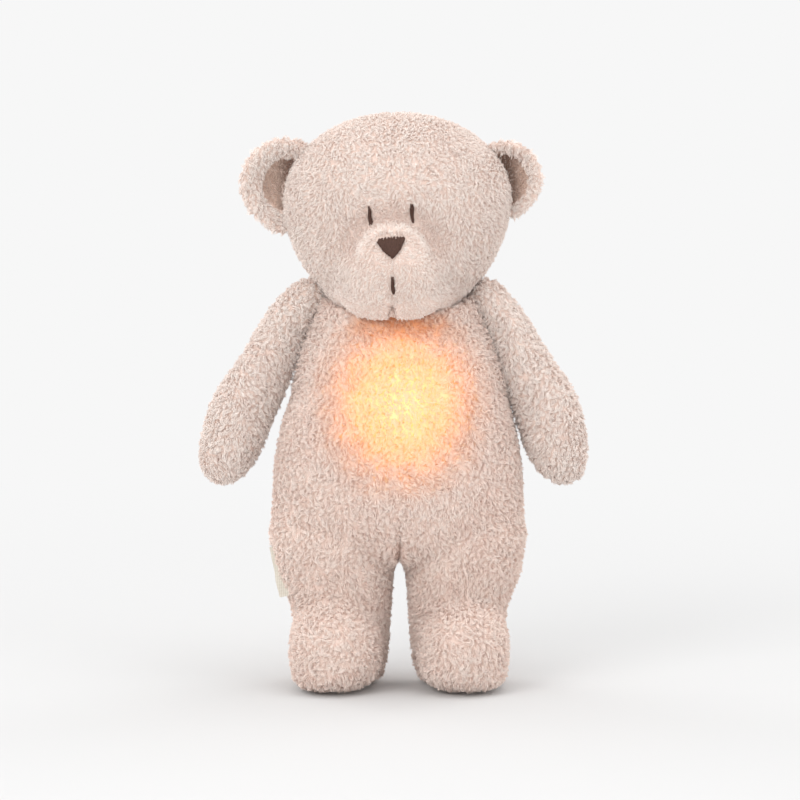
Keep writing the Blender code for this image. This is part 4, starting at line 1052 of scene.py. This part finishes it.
# %% Nose
low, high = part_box("nose")
nose_lines = []
nose_rows = 44
rows_in_tooth = 4.9
nose_middle_x = (low.x + high.x) / 2 - 0.5 * mm
nose_half = (high.x - low.x) / 2 - 0.7 * mm
nose_top = ([-1.0, -0.86, -0.56, -0.31, 0.38, 0.65, 1.0], [-2.4, -0.6, -0.1, 0.2, 0.6, 0.7, 0.2])
nose_bottom = ([-1.0, -0.83, -0.56, -0.22, 0.12, 0.38, 0.72, 0.86, 1.0],
               [-3.4, -5.0, -8.2, -10.4, -12.2, -10.4, -7.0, -4.2, -1.6])
for k in range(nose_rows):
    share = 2 * k / (nose_rows - 1) - 1
    x = nose_middle_x + share * nose_half
    tooth = abs(2 * ((k / rows_in_tooth) % 1.0) - 1) ** 1.4 * (0.8 + 0.4 * math.sin(k * 0.9))
    top = high.z + (np.interp(share, *nose_top) - 2.2 * tooth * (1 - 0.4 * share * share)) * mm
    bottom = high.z + (np.interp(share, *nose_bottom) + 0.2 * math.sin(k * 1.3)) * mm
    line = []
    for place, above in ((0.0, 0.0), (0.08, 0.9), (0.5, 1.5), (0.92, 0.9), (1.0, 0.0)):
        line.append(on_face(x, top + (bottom - top) * place, above * mm))
    nose_lines.append(line)
nose = tube_mesh("nose_stitches", nose_lines, [0.36 * mm] * 5, 6, thread_finish)
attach(nose, "head_body")
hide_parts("nose")
print("stitched rows", nose_rows)

# %% [markdown]
# The arms are long soft rolls that hang from slanting seams on the shoulders. Each cover is widened a
# little at the shoulder, so that no light shows through the seam, and at the hand, which is fullest.

# %% Arms
for side, hand in ((-1, "left"), (1, "right")):
    arm_cover = cover_from(f"arm_{hand}_cover", (f"arm_{hand}",), 2.0 * mm, backing, ease=4)
    arm_places = arrays(arm_cover)[0]
    shoulder = np.clip((arm_places[:, 2] - 0.226) / 0.020, 0, 1) * (side * arm_places[:, 0] < 0.064)
    arm_places = arm_places - np.array((side, 0, 0)) * (4.5 * mm * shoulder)[:, None]
    arm_places[:, 0] -= 2.8 * mm * np.clip((0.235 - arm_places[:, 2]) / 0.080, 0, 1)
    hand_share = 1 - smooth_step(arm_places[:, 2], 0.136, 0.172)
    hand_middle = np.array((side * 0.109 - 1.4 * mm, 0.008, 0.158))
    arm_places = arm_places + (arm_places - hand_middle) * (0.10 * hand_share)[:, None]
    arm_places[:, 2] -= 1.2 * mm * hand_share
    if hand == "left":
        upper = bell(arm_places[:, 2], 0.238, 0.026) * smooth_step(-arm_places[:, 0], 0.058, 0.072)
        arm_places = arm_places + np.array((-1.9 * mm, 0, 1.9 * mm)) * upper[:, None]
    beside_head = 1 - smooth_step(side * arm_places[:, 0], 0.058, 0.072)
    arm_places[:, 2] += 2.8 * mm * smooth_step(arm_places[:, 2], 0.240, 0.256) * beside_head
    set_places(arm_cover, arm_places)
    draw_in(arm_cover, 0.2 * mm)
    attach(arm_cover, f"arm_{hand}_body")
    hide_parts(f"arm_{hand}")
    grow_pile(f"arm_{hand}_pile", arm_cover, comb_down, f"arm_{hand}_body", plush, seed=31 + side,
              density=2.3e6, lock_size=3.0 * mm, wild=0.7, root_radius=0.20 * mm)
print("arm cover faces", len(arm_cover.data.polygons))
# %% [markdown]
# The ears are folded cups. The middle of each front is pressed back to make the cup, the root is tucked into
# the head so that no gap shows, and the cup has shorter pile than the rolled rim, in darker colours that
# paint the shade of the hollow.

# %% Ears
head_middle = np.array((0, 0.008, 0.310))
hollow_radius = 18 * mm
front_press = 11.0 * mm
rear_press = 9.5 * mm
backward = np.array((0, 1, 0))
for side, hand in ((-1, "left"), (1, "right")):
    ear_cover = cover_from(f"ear_{hand}_cover", (f"ear_{hand}",), 1.3 * mm, backing, ease=3)
    ear_low, ear_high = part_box(f"ear_{hand}")
    hollow_x = (ear_low.x + ear_high.x) / 2 - side * 9 * mm
    hollow_z = (ear_low.z + ear_high.z) / 2 - 1 * mm

    def hollow_share(places):
        """1 in the middle of the ear's cup and 0 at its rim."""
        reach = np.hypot(places[:, 0] - hollow_x, places[:, 2] - hollow_z)
        return np.exp(-(reach / hollow_radius) ** 3)

    places, normals, _ = arrays(ear_cover)
    tucked = smooth_step(depth_in("head", places), -2.5 * mm, -0.5 * mm)
    facing = np.clip(-normals[:, 1] * 1.6, 0, 1)
    places = places + backward * (front_press * hollow_share(places) * facing)[:, None]
    behind = np.clip(normals[:, 1] * 1.6, 0, 1)
    places = places + backward * (rear_press * hollow_share(places) * behind)[:, None]
    if hand == "left":
        lower = (1 - smooth_step(places[:, 2], 0.297, 0.308)) * smooth_step(places[:, 0], -0.092, -0.078)
        places[:, 2] -= 3.5 * mm * lower
    else:
        places[:, 0] -= 2.2 * mm * smooth_step(places[:, 0], 0.066, 0.088)
        places[:, 2] -= 1.5 * mm * smooth_step(places[:, 2], 0.335, 0.350)
    into_head = unit_rows(head_middle - places)
    places = places + into_head * (5.0 * mm * tucked)[:, None]
    set_places(ear_cover, places)
    draw_in(ear_cover, 0.8 * mm * (1 - tucked))
    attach(ear_cover, "head_body")
    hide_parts(f"ear_{hand}")

    def outside_head(roots):
        return depth_in("head", roots) < 0.6 * mm

    def in_front_hollow(roots, ways):
        return (ways[:, 1] < -0.25) & (hollow_share(roots) > 0.42)

    def in_cup(roots, ways):
        return in_front_hollow(roots, ways) & outside_head(roots)

    def on_rim(roots, ways):
        return ~in_front_hollow(roots, ways) & outside_head(roots)

    grow_pile(f"ear_{hand}_pile", ear_cover, comb_down, "head_body", plush,
              seed=41 + side, height=2.0 * mm, lean=3.2 * mm, density=2.6e6, lock_size=2.6 * mm, wild=0.7,
              keep=on_rim)
    # The cup's darker pile is painted shade of the hollow.
    grow_pile(f"ear_{hand}_cup", ear_cover, comb_down, "head_body", plush_ear_inner,
              seed=61 + side, height=1.3 * mm, lean=2.0 * mm, density=2.6e6, lock_size=2.4 * mm, wild=0.6,
              keep=in_cup)
# %% [markdown]
# The flap closes the pocket in the back. Only its outer face has pile; its inner face is bare cloth.

# %% Flap
flap_cover = cover_from("flap_cover", ("back_flap",), 2.0 * mm, backing, ease=2)
flap_places = arrays(flap_cover)[0]
draw_in(flap_cover, np.clip((flap_places[:, 1] - back_box[0].y - 1 * mm) * 0.5, 0.2 * mm, pile_depth))
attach(flap_cover, "flap_body")
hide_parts("back_flap")


def flap_hair(roots, ways):
    return (ways[:, 1] > 0.15) & (roots[:, 1] > back_box[0].y + 1 * mm)


grow_pile("flap_pile", flap_cover, comb_down, "flap_body", plush, seed=51, keep=flap_hair)

# %% [markdown]
# The label is a short woven ribbon, folded in half and caught in the seam of the left hip. It is left
# blank. It is one thin sheet: down the front, round the fold and up the back, with a slight wave.

# %% Side label
def woven_finish(name, light, dark, threads):
    """Fine cloth with threads that cross, seen as a small relief and a slight change of tone."""
    made, tree, shader = new_material(name)
    coordinates = place_coordinates(tree)
    bands = []
    for scale, direction in ((threads, 'Z'), (threads * 0.8, 'X')):
        wave = {"Vector": coordinates, "Scale": scale, "Distortion": 0.6}
        bands.append(node(tree, "ShaderNodeTexWave", wave, bands_direction=direction).outputs["Fac"])
    weave = weighted(tree, bands[0], 0.5, bands[1], 0.5)
    level = weighted(tree, weave, 0.55, noise(tree, coordinates, 220.0, 3.0), 0.45)
    tree.links.new(ramp(tree, level, [(0.25, dark), (0.75, light)]), shader.inputs["Base Color"])
    set_sockets(shader, {"Roughness": 0.8, "Specular IOR Level": 0.2, "Sheen Weight": 0.15})
    add_bump(tree, shader, weave, 0.5, 0.2 * mm)
    return made


ribbon_finish = woven_finish("woven_ribbon", srgb(226, 220, 208), srgb(196, 188, 174), 320.0)
label_middle = Vector((-0.0742, -0.0030, 0.0745))
label_turn = Matrix.Rotation(math.radians(-24), 3, 'Z') @ Matrix.Rotation(math.radians(-13), 3, 'Y')
label_half_width = 5.6 * mm
label_half_length = 16.5 * mm
fold_radius = 0.35 * mm
fold_steps = 12
label_path = [(label_half_width - k * 2 * label_half_width / fold_steps, fold_radius)
              for k in range(fold_steps + 1)]
label_path += [(-label_half_width - fold_radius * math.sin(k * math.pi / 6),
                fold_radius * math.cos(k * math.pi / 6)) for k in range(1, 6)]
label_path += [(-x, -fold_radius) for x, _ in label_path[:fold_steps + 1]]
label_rows = 30
label_points = []
for row in range(label_rows + 1):
    up = (2 * row / label_rows - 1) * label_half_length
    wave = 0.5 * mm * math.sin(up * 190) + 0.3 * mm * math.sin(up * 430 + 1)
    for out, thick in label_path:
        free = (label_half_width - out) / (2 * label_half_width)
        label_points.append(label_middle + label_turn @ Vector((out, thick + wave * free, up)))
across = len(label_path)
label_faces = [(row * across + k, row * across + k + 1, (row + 1) * across + k + 1, (row + 1) * across + k)
               for row in range(label_rows) for k in range(across - 1)]
label = mesh_object("side_label_ribbon", label_points, label_faces, ribbon_finish)
label.data.shade_smooth()
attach(label, "body")
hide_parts("side_label")
print("label", round(label_half_length * 2000), "mm tall")

# %% [markdown]
# The pocket in the back is lined with a cup of thin cotton: a round piece for its floor and a band for
# its wall, with a turned hem. It hangs a little loose, so it has soft folds that die out at the hem.

# %% Pocket lining
lining_finish = woven_finish("cotton_lining", srgb(238, 228, 216), srgb(216, 202, 188), 260.0)
lining_radius = pocket_radius - 0.45 * mm
lining_front_y = pocket_low.y + 0.4 * mm
lining_rear_y = pocket_high.y - 0.6 * mm
lining_around = 112
floor_rings = 15
wall_rings = 30
lining_rings = []
for k in range(1, floor_rings):
    lining_rings.append((lining_radius * (k / floor_rings), lining_front_y, 0.0))
for k in range(wall_rings):
    share = k / (wall_rings - 1)
    ring_y = lining_front_y + (lining_rear_y - lining_front_y) * share
    lining_rings.append((lining_radius, ring_y, math.sin(math.pi * share)))
lining_points = [(0, lining_front_y, pocket_centre_z)]
for radius, y, fold in lining_rings:
    for k in range(lining_around):
        turn = 2 * math.pi * k / lining_around
        loose = 0.28 * mm * fold * math.sin(11 * turn + 1.5 * math.sin(3 * turn) + 25 * y)
        reach = radius + loose
        lining_points.append((reach * math.cos(turn), y, pocket_centre_z + reach * math.sin(turn)))
lining_faces = [(0, 1 + (k + 1) % lining_around, 1 + k) for k in range(lining_around)]
for ring in range(len(lining_rings) - 1):
    for k in range(lining_around):
        here = 1 + ring * lining_around
        after = (k + 1) % lining_around
        lining_faces.append((here + k, here + after, here + lining_around + after, here + lining_around + k))
lining = mesh_object("pocket_lining_cup", lining_points, lining_faces, lining_finish)
lining.data.shade_smooth()
hem_line = []
for k in range(lining_around + 1):
    turn = 2 * math.pi * k / lining_around
    hem_line.append((lining_radius * math.cos(turn), lining_rear_y,
                     pocket_centre_z + lining_radius * math.sin(turn)))
hem = tube_mesh("pocket_lining_hem", [hem_line], [0.42 * mm] * len(hem_line), 8, lining_finish)
for piece in (lining, hem):
    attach(piece, "body")
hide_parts("pocket_liner")

# %% [markdown]
# A strip of hooks on the body and one of loops on the flap hold the flap shut. Each is a woven tape with
# hundreds of small bent threads, so each is made as a thin pad with rows of short tubes.

# %% Hook and loop tape
tape_finish = woven_finish("hook_tape", srgb(240, 236, 228), srgb(206, 198, 188), 520.0)


def fastener(name, node_name, body, facing, hooked):
    """A tape on the node's base side, with rows of hooks or loops that stand towards the other tape."""
    low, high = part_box(node_name)
    base_y = low.y if facing > 0 else high.y
    thick = 0.45 * mm
    end_up = 0.35 if hooked else 0
    lines = []
    columns = 34
    rows = 10
    for column in range(columns):
        for row in range(rows):
            x = low.x + (column + 0.5 + 0.25 * (row % 2)) / (columns + 0.5) * (high.x - low.x)
            z = low.z + (row + 0.5) / rows * (high.z - low.z)
            lean = 0.3 * mm * math.sin(column * 1.9 + row * 2.7)
            line = []
            for along, up in ((-0.32, 0), (-0.30, 0.55), (0, 0.85), (0.26, 0.62), (0.30, end_up)):
                line.append((x + along * mm, base_y + facing * (thick + up * mm), z + lean * up))
            lines.append(line)
    pile = tube_mesh(name + "_pile", lines, [0.085 * mm] * 5, 4, tape_finish)
    bm = bmesh.new()
    bmesh.ops.create_cube(bm, size=1)
    size = Vector((high.x - low.x, thick, high.z - low.z))
    middle = Vector(((low.x + high.x) / 2, base_y + facing * thick / 2, (low.z + high.z) / 2))
    for vert in bm.verts:
        vert.co = Vector([a * b for a, b in zip(vert.co, size)]) + middle
    bmesh.ops.bevel(bm, geom=bm.edges[:], offset=thick * 0.3, segments=2, profile=0.5, affect='EDGES')
    mesh = bpy.data.meshes.new(name)
    bm.to_mesh(mesh)
    bm.free()
    tape = link(bpy.data.objects.new(name, mesh))
    mesh.materials.append(tape_finish)
    for piece in (tape, pile):
        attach(piece, body)
    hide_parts(node_name)
    print(name, "threads", len(lines))


fastener("hook_tape", "hook_strip", "body", 1, True)
fastener("loop_tape", "loop_strip", "flap_body", -1, False)

# %% [markdown]
# The light unit's solids already have their true shapes, so they stay and only get their finishes: a
# satin moulded case, a frosted lens that is lit from behind, boards under green varnish, and so on.

# %% Finishes of the light unit
gloss_change = 0.06


def plain_finish(name, light, dark, roughness, scale, bump, metal=0.0, specular=0.5):
    """One speckled colour with a fine relief and a slightly uneven gloss."""
    made, tree, shader = new_material(name)
    coordinates = place_coordinates(tree)
    fine = noise(tree, coordinates, scale, 4.0, 0.6)
    level = weighted(tree, fine, 0.5, noise(tree, coordinates, scale / 20, 2.0), 0.5)
    tree.links.new(ramp(tree, level, [(0.3, dark), (0.7, light)]), shader.inputs["Base Color"])
    uneven = node(tree, "ShaderNodeMapRange", {"Value": fine, "To Min": roughness - gloss_change,
                                               "To Max": roughness + gloss_change})
    tree.links.new(uneven.outputs["Result"], shader.inputs["Roughness"])
    set_sockets(shader, {"Metallic": metal, "Specular IOR Level": specular})
    add_bump(tree, shader, fine, bump, 0.0001)
    return made, tree, shader


def board_finish():
    """Green varnish over copper tracks, which show as slightly raised lighter lines."""
    made, tree, shader = plain_finish("board_green", srgb(36, 108, 66), srgb(26, 88, 52), 0.35, 900.0, 0.1)
    flat = node(tree, "ShaderNodeMapping", {"Vector": place_coordinates(tree),
                                            "Rotation": (math.pi / 2, 0, 0)})
    tracks = node(tree, "ShaderNodeTexBrick", {"Vector": flat.outputs[0], "Scale": 130.0, "Mortar Size": 0.04,
                                               "Brick Width": 0.9, "Row Height": 0.35}).outputs["Fac"]
    colour = mix_colour(tree, tracks, srgb(28, 92, 54), srgb(70, 146, 84))
    tree.links.new(colour, shader.inputs["Base Color"])
    add_bump(tree, shader, tracks, 0.4, 0.0001)
    return made


def shining(made, tree, shader, light, strength):
    """Gives a finish its own light, which the lamps' sampling leaves alone."""
    tree.links.new(light, shader.inputs["Emission Color"])
    set_sockets(shader, {"Emission Strength": strength})
    made.cycles.emission_sampling = 'NONE'
    return made


def lens_finish():
    """Frosted plastic with the lamps behind it: brighter over their ring, warmer at its rim."""
    made, tree, shader = plain_finish("lens_frosted", srgb(252, 244, 226), srgb(246, 234, 212),
                                      0.5, 1500.0, 0.25)
    middle = (0, 0, pocket_centre_z)
    away = vectors(tree, 'SUBTRACT', place_coordinates(tree), middle)
    reach = vectors(tree, 'LENGTH', vectors(tree, 'MULTIPLY', away, (1, 0, 1)))
    share = rising(tree, reach, 0.0, 31 * mm)
    lit = ramp(tree, share, [(0.1, (0.95, 0.72, 0.36, 1)), (0.55, (0.85, 0.58, 0.25, 1)),
                             (1.0, (0.45, 0.24, 0.08, 1))])
    return shining(made, tree, shader, lit, 0.8)


def lamp_finish():
    """A small white lamp with a yellow, lit window."""
    made, tree, shader = plain_finish("lamp_white", srgb(250, 242, 200), srgb(244, 226, 150),
                                      0.4, 1200.0, 0.1)
    warm = ramp(tree, noise(tree, place_coordinates(tree), 700.0),
                [(0.3, (1.0, 0.72, 0.30, 1)), (0.7, (1.0, 0.82, 0.45, 1))])
    return shining(made, tree, shader, warm, 1.5)


def cell_finish():
    """A steel cell in a shrunk plastic sleeve: bare ends, a dark body and a copper-coloured collar."""
    made, tree, shader = plain_finish("cell_sleeve", srgb(64, 66, 72), srgb(50, 52, 58), 0.35, 800.0, 0.05)
    low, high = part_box("battery_1")
    share = rising(tree, along_axis(tree, place_coordinates(tree), "X"), low.x, high.x)
    steel = srgb(190, 190, 188)
    sleeve = srgb(58, 60, 66)
    collar = srgb(176, 120, 78)
    bands = [(0.0, steel), (0.025, steel), (0.03, sleeve), (0.76, sleeve), (0.765, collar), (0.955, collar),
             (0.96, steel)]
    tree.links.new(ramp(tree, share, bands), shader.inputs["Base Color"])
    set_sockets(shader, {"Metallic": 0.55})
    return made


def speaker_finish():
    """A black paper cone with fine pressed rings."""
    made, tree, shader = plain_finish("speaker_black", srgb(44, 43, 44), srgb(30, 29, 30), 0.6, 1200.0, 0.3)
    low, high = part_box("speaker")
    away = vectors(tree, 'SUBTRACT', place_coordinates(tree), (low + high) / 2)
    rings = node(tree, "ShaderNodeTexWave", {"Vector": away, "Scale": 260.0}, wave_type='RINGS',
                 rings_direction='Y').outputs["Fac"]
    add_bump(tree, shader, rings, 0.6, 0.0002)
    return made


def matte(*values):
    """A plain finish's material alone."""
    return plain_finish(*values)[0]


finishes = {
    "case_plastic": matte("case_satin", srgb(242, 239, 232), srgb(232, 228, 219), 0.42, 1600.0, 0.25),
    "door_plastic": matte("door_satin", srgb(238, 234, 226), srgb(226, 221, 211), 0.46, 1600.0, 0.35),
    "lens_plastic": lens_finish(),
    "board_green": board_finish(),
    "led_white": lamp_finish(),
    "black_plastic": matte("black_moulded", srgb(40, 39, 40), srgb(28, 27, 28), 0.45, 1300.0, 0.2),
    "button_rubber": matte("button_silicone", srgb(190, 178, 168), srgb(172, 160, 150), 0.7, 1800.0, 0.3),
    "cell_steel": cell_finish(),
    "contact_metal": matte("contact_nickel", srgb(214, 208, 196), srgb(186, 180, 168), 0.3, 900.0, 0.15, 1.0),
    "screw_steel": matte("screw_zinc", srgb(200, 202, 206), srgb(160, 163, 168), 0.34, 1100.0, 0.2, 1.0),
}
speaker_black = speaker_finish()
dressed = 0
for name, solid in nodes.items():
    if solid.hide_render:
        continue
    for place in solid.material_slots:
        place.material = speaker_black if name == "speaker" else finishes[place.material.name.split(".")[0]]
        dressed += 1
print("finished solids", dressed)

# %% [markdown]
# The photograph was taken in even daylight on a white sweep. A white floor melts into a white sky, and
# large soft lamps from the upper left, the right and behind add the soft shape of the light.

# %% Stage and lights
backdrop = (0.93, 0.93, 0.93, 1)
floor_material, tree, shader = new_material("studio_floor")
flat = vectors(tree, 'MULTIPLY', place_coordinates(tree), (1, 1, 0))
fade = rising(tree, vectors(tree, 'LENGTH', flat), 0.25, 1.1, 'SMOOTHSTEP')
set_sockets(shader, {"Base Color": (0.68, 0.68, 0.68, 1), "Roughness": 0.9, "Specular IOR Level": 0.1})
glow = node(tree, "ShaderNodeEmission", {"Color": backdrop, "Strength": 1.0})
mixed = node(tree, "ShaderNodeMixShader", {0: fade, 1: shader.outputs[0], 2: glow.outputs[0]})
tree.links.new(mixed.outputs[0], tree.nodes["Material Output"].inputs["Surface"])
floor_material.cycles.emission_sampling = 'NONE'

floor_radius = 7.0
floor_sides = 96
floor_points = []
for k in range(floor_sides):
    turn = 2 * math.pi * k / floor_sides
    floor_points.append((floor_radius * math.cos(turn), floor_radius * math.sin(turn), 0))
floor = mesh_object("studio_floor", floor_points, [list(range(floor_sides))], floor_material)

world = bpy.data.worlds.new("studio")
scene.world = world
world.use_nodes = True
tree = world.node_tree
background = tree.nodes["Background"]
set_sockets(background, {"Color": white, "Strength": 0.87})
seen = node(tree, "ShaderNodeBackground", {"Color": backdrop, "Strength": 1.0})
path = node(tree, "ShaderNodeLightPath")
shown = arithmetic(tree, 'MAXIMUM', path.outputs["Is Camera Ray"], path.outputs["Is Glossy Ray"])
shown = arithmetic(tree, 'MAXIMUM', shown, path.outputs["Is Transmission Ray"])
mixed = node(tree, "ShaderNodeMixShader", {0: shown, 1: background.outputs[0], 2: seen.outputs[0]})
tree.links.new(mixed.outputs[0], tree.nodes["World Output"].inputs["Surface"])


def soft_light(name, place, size, power, target=(0, 0, 0.18)):
    """A square soft lamp that faces the chest."""
    data = bpy.data.lights.new(name, 'AREA')
    data.size = size
    data.energy = power
    made = link(bpy.data.objects.new(name, data))
    made.location = place
    made.rotation_euler = (Vector(target) - Vector(place)).to_track_quat('-Z', 'Y').to_euler()

soft_light("key", (-1.3, -1.9, 1.5), 1.3, 20)
soft_light("fill", (1.7, -1.6, 0.8), 1.4, 8)
soft_light("low", (-0.5, -2.2, 0.4), 1.6, 9)
soft_light("top", (0.3, -0.2, 2.2), 1.4, 10)
soft_light("rim_left", (-1.7, 1.5, 0.9), 1.4, 12)
soft_light("rim_right", (1.7, 1.5, 0.9), 1.4, 12)
print("lamps", len(bpy.data.lights))

scene.view_settings.view_transform = 'Standard'
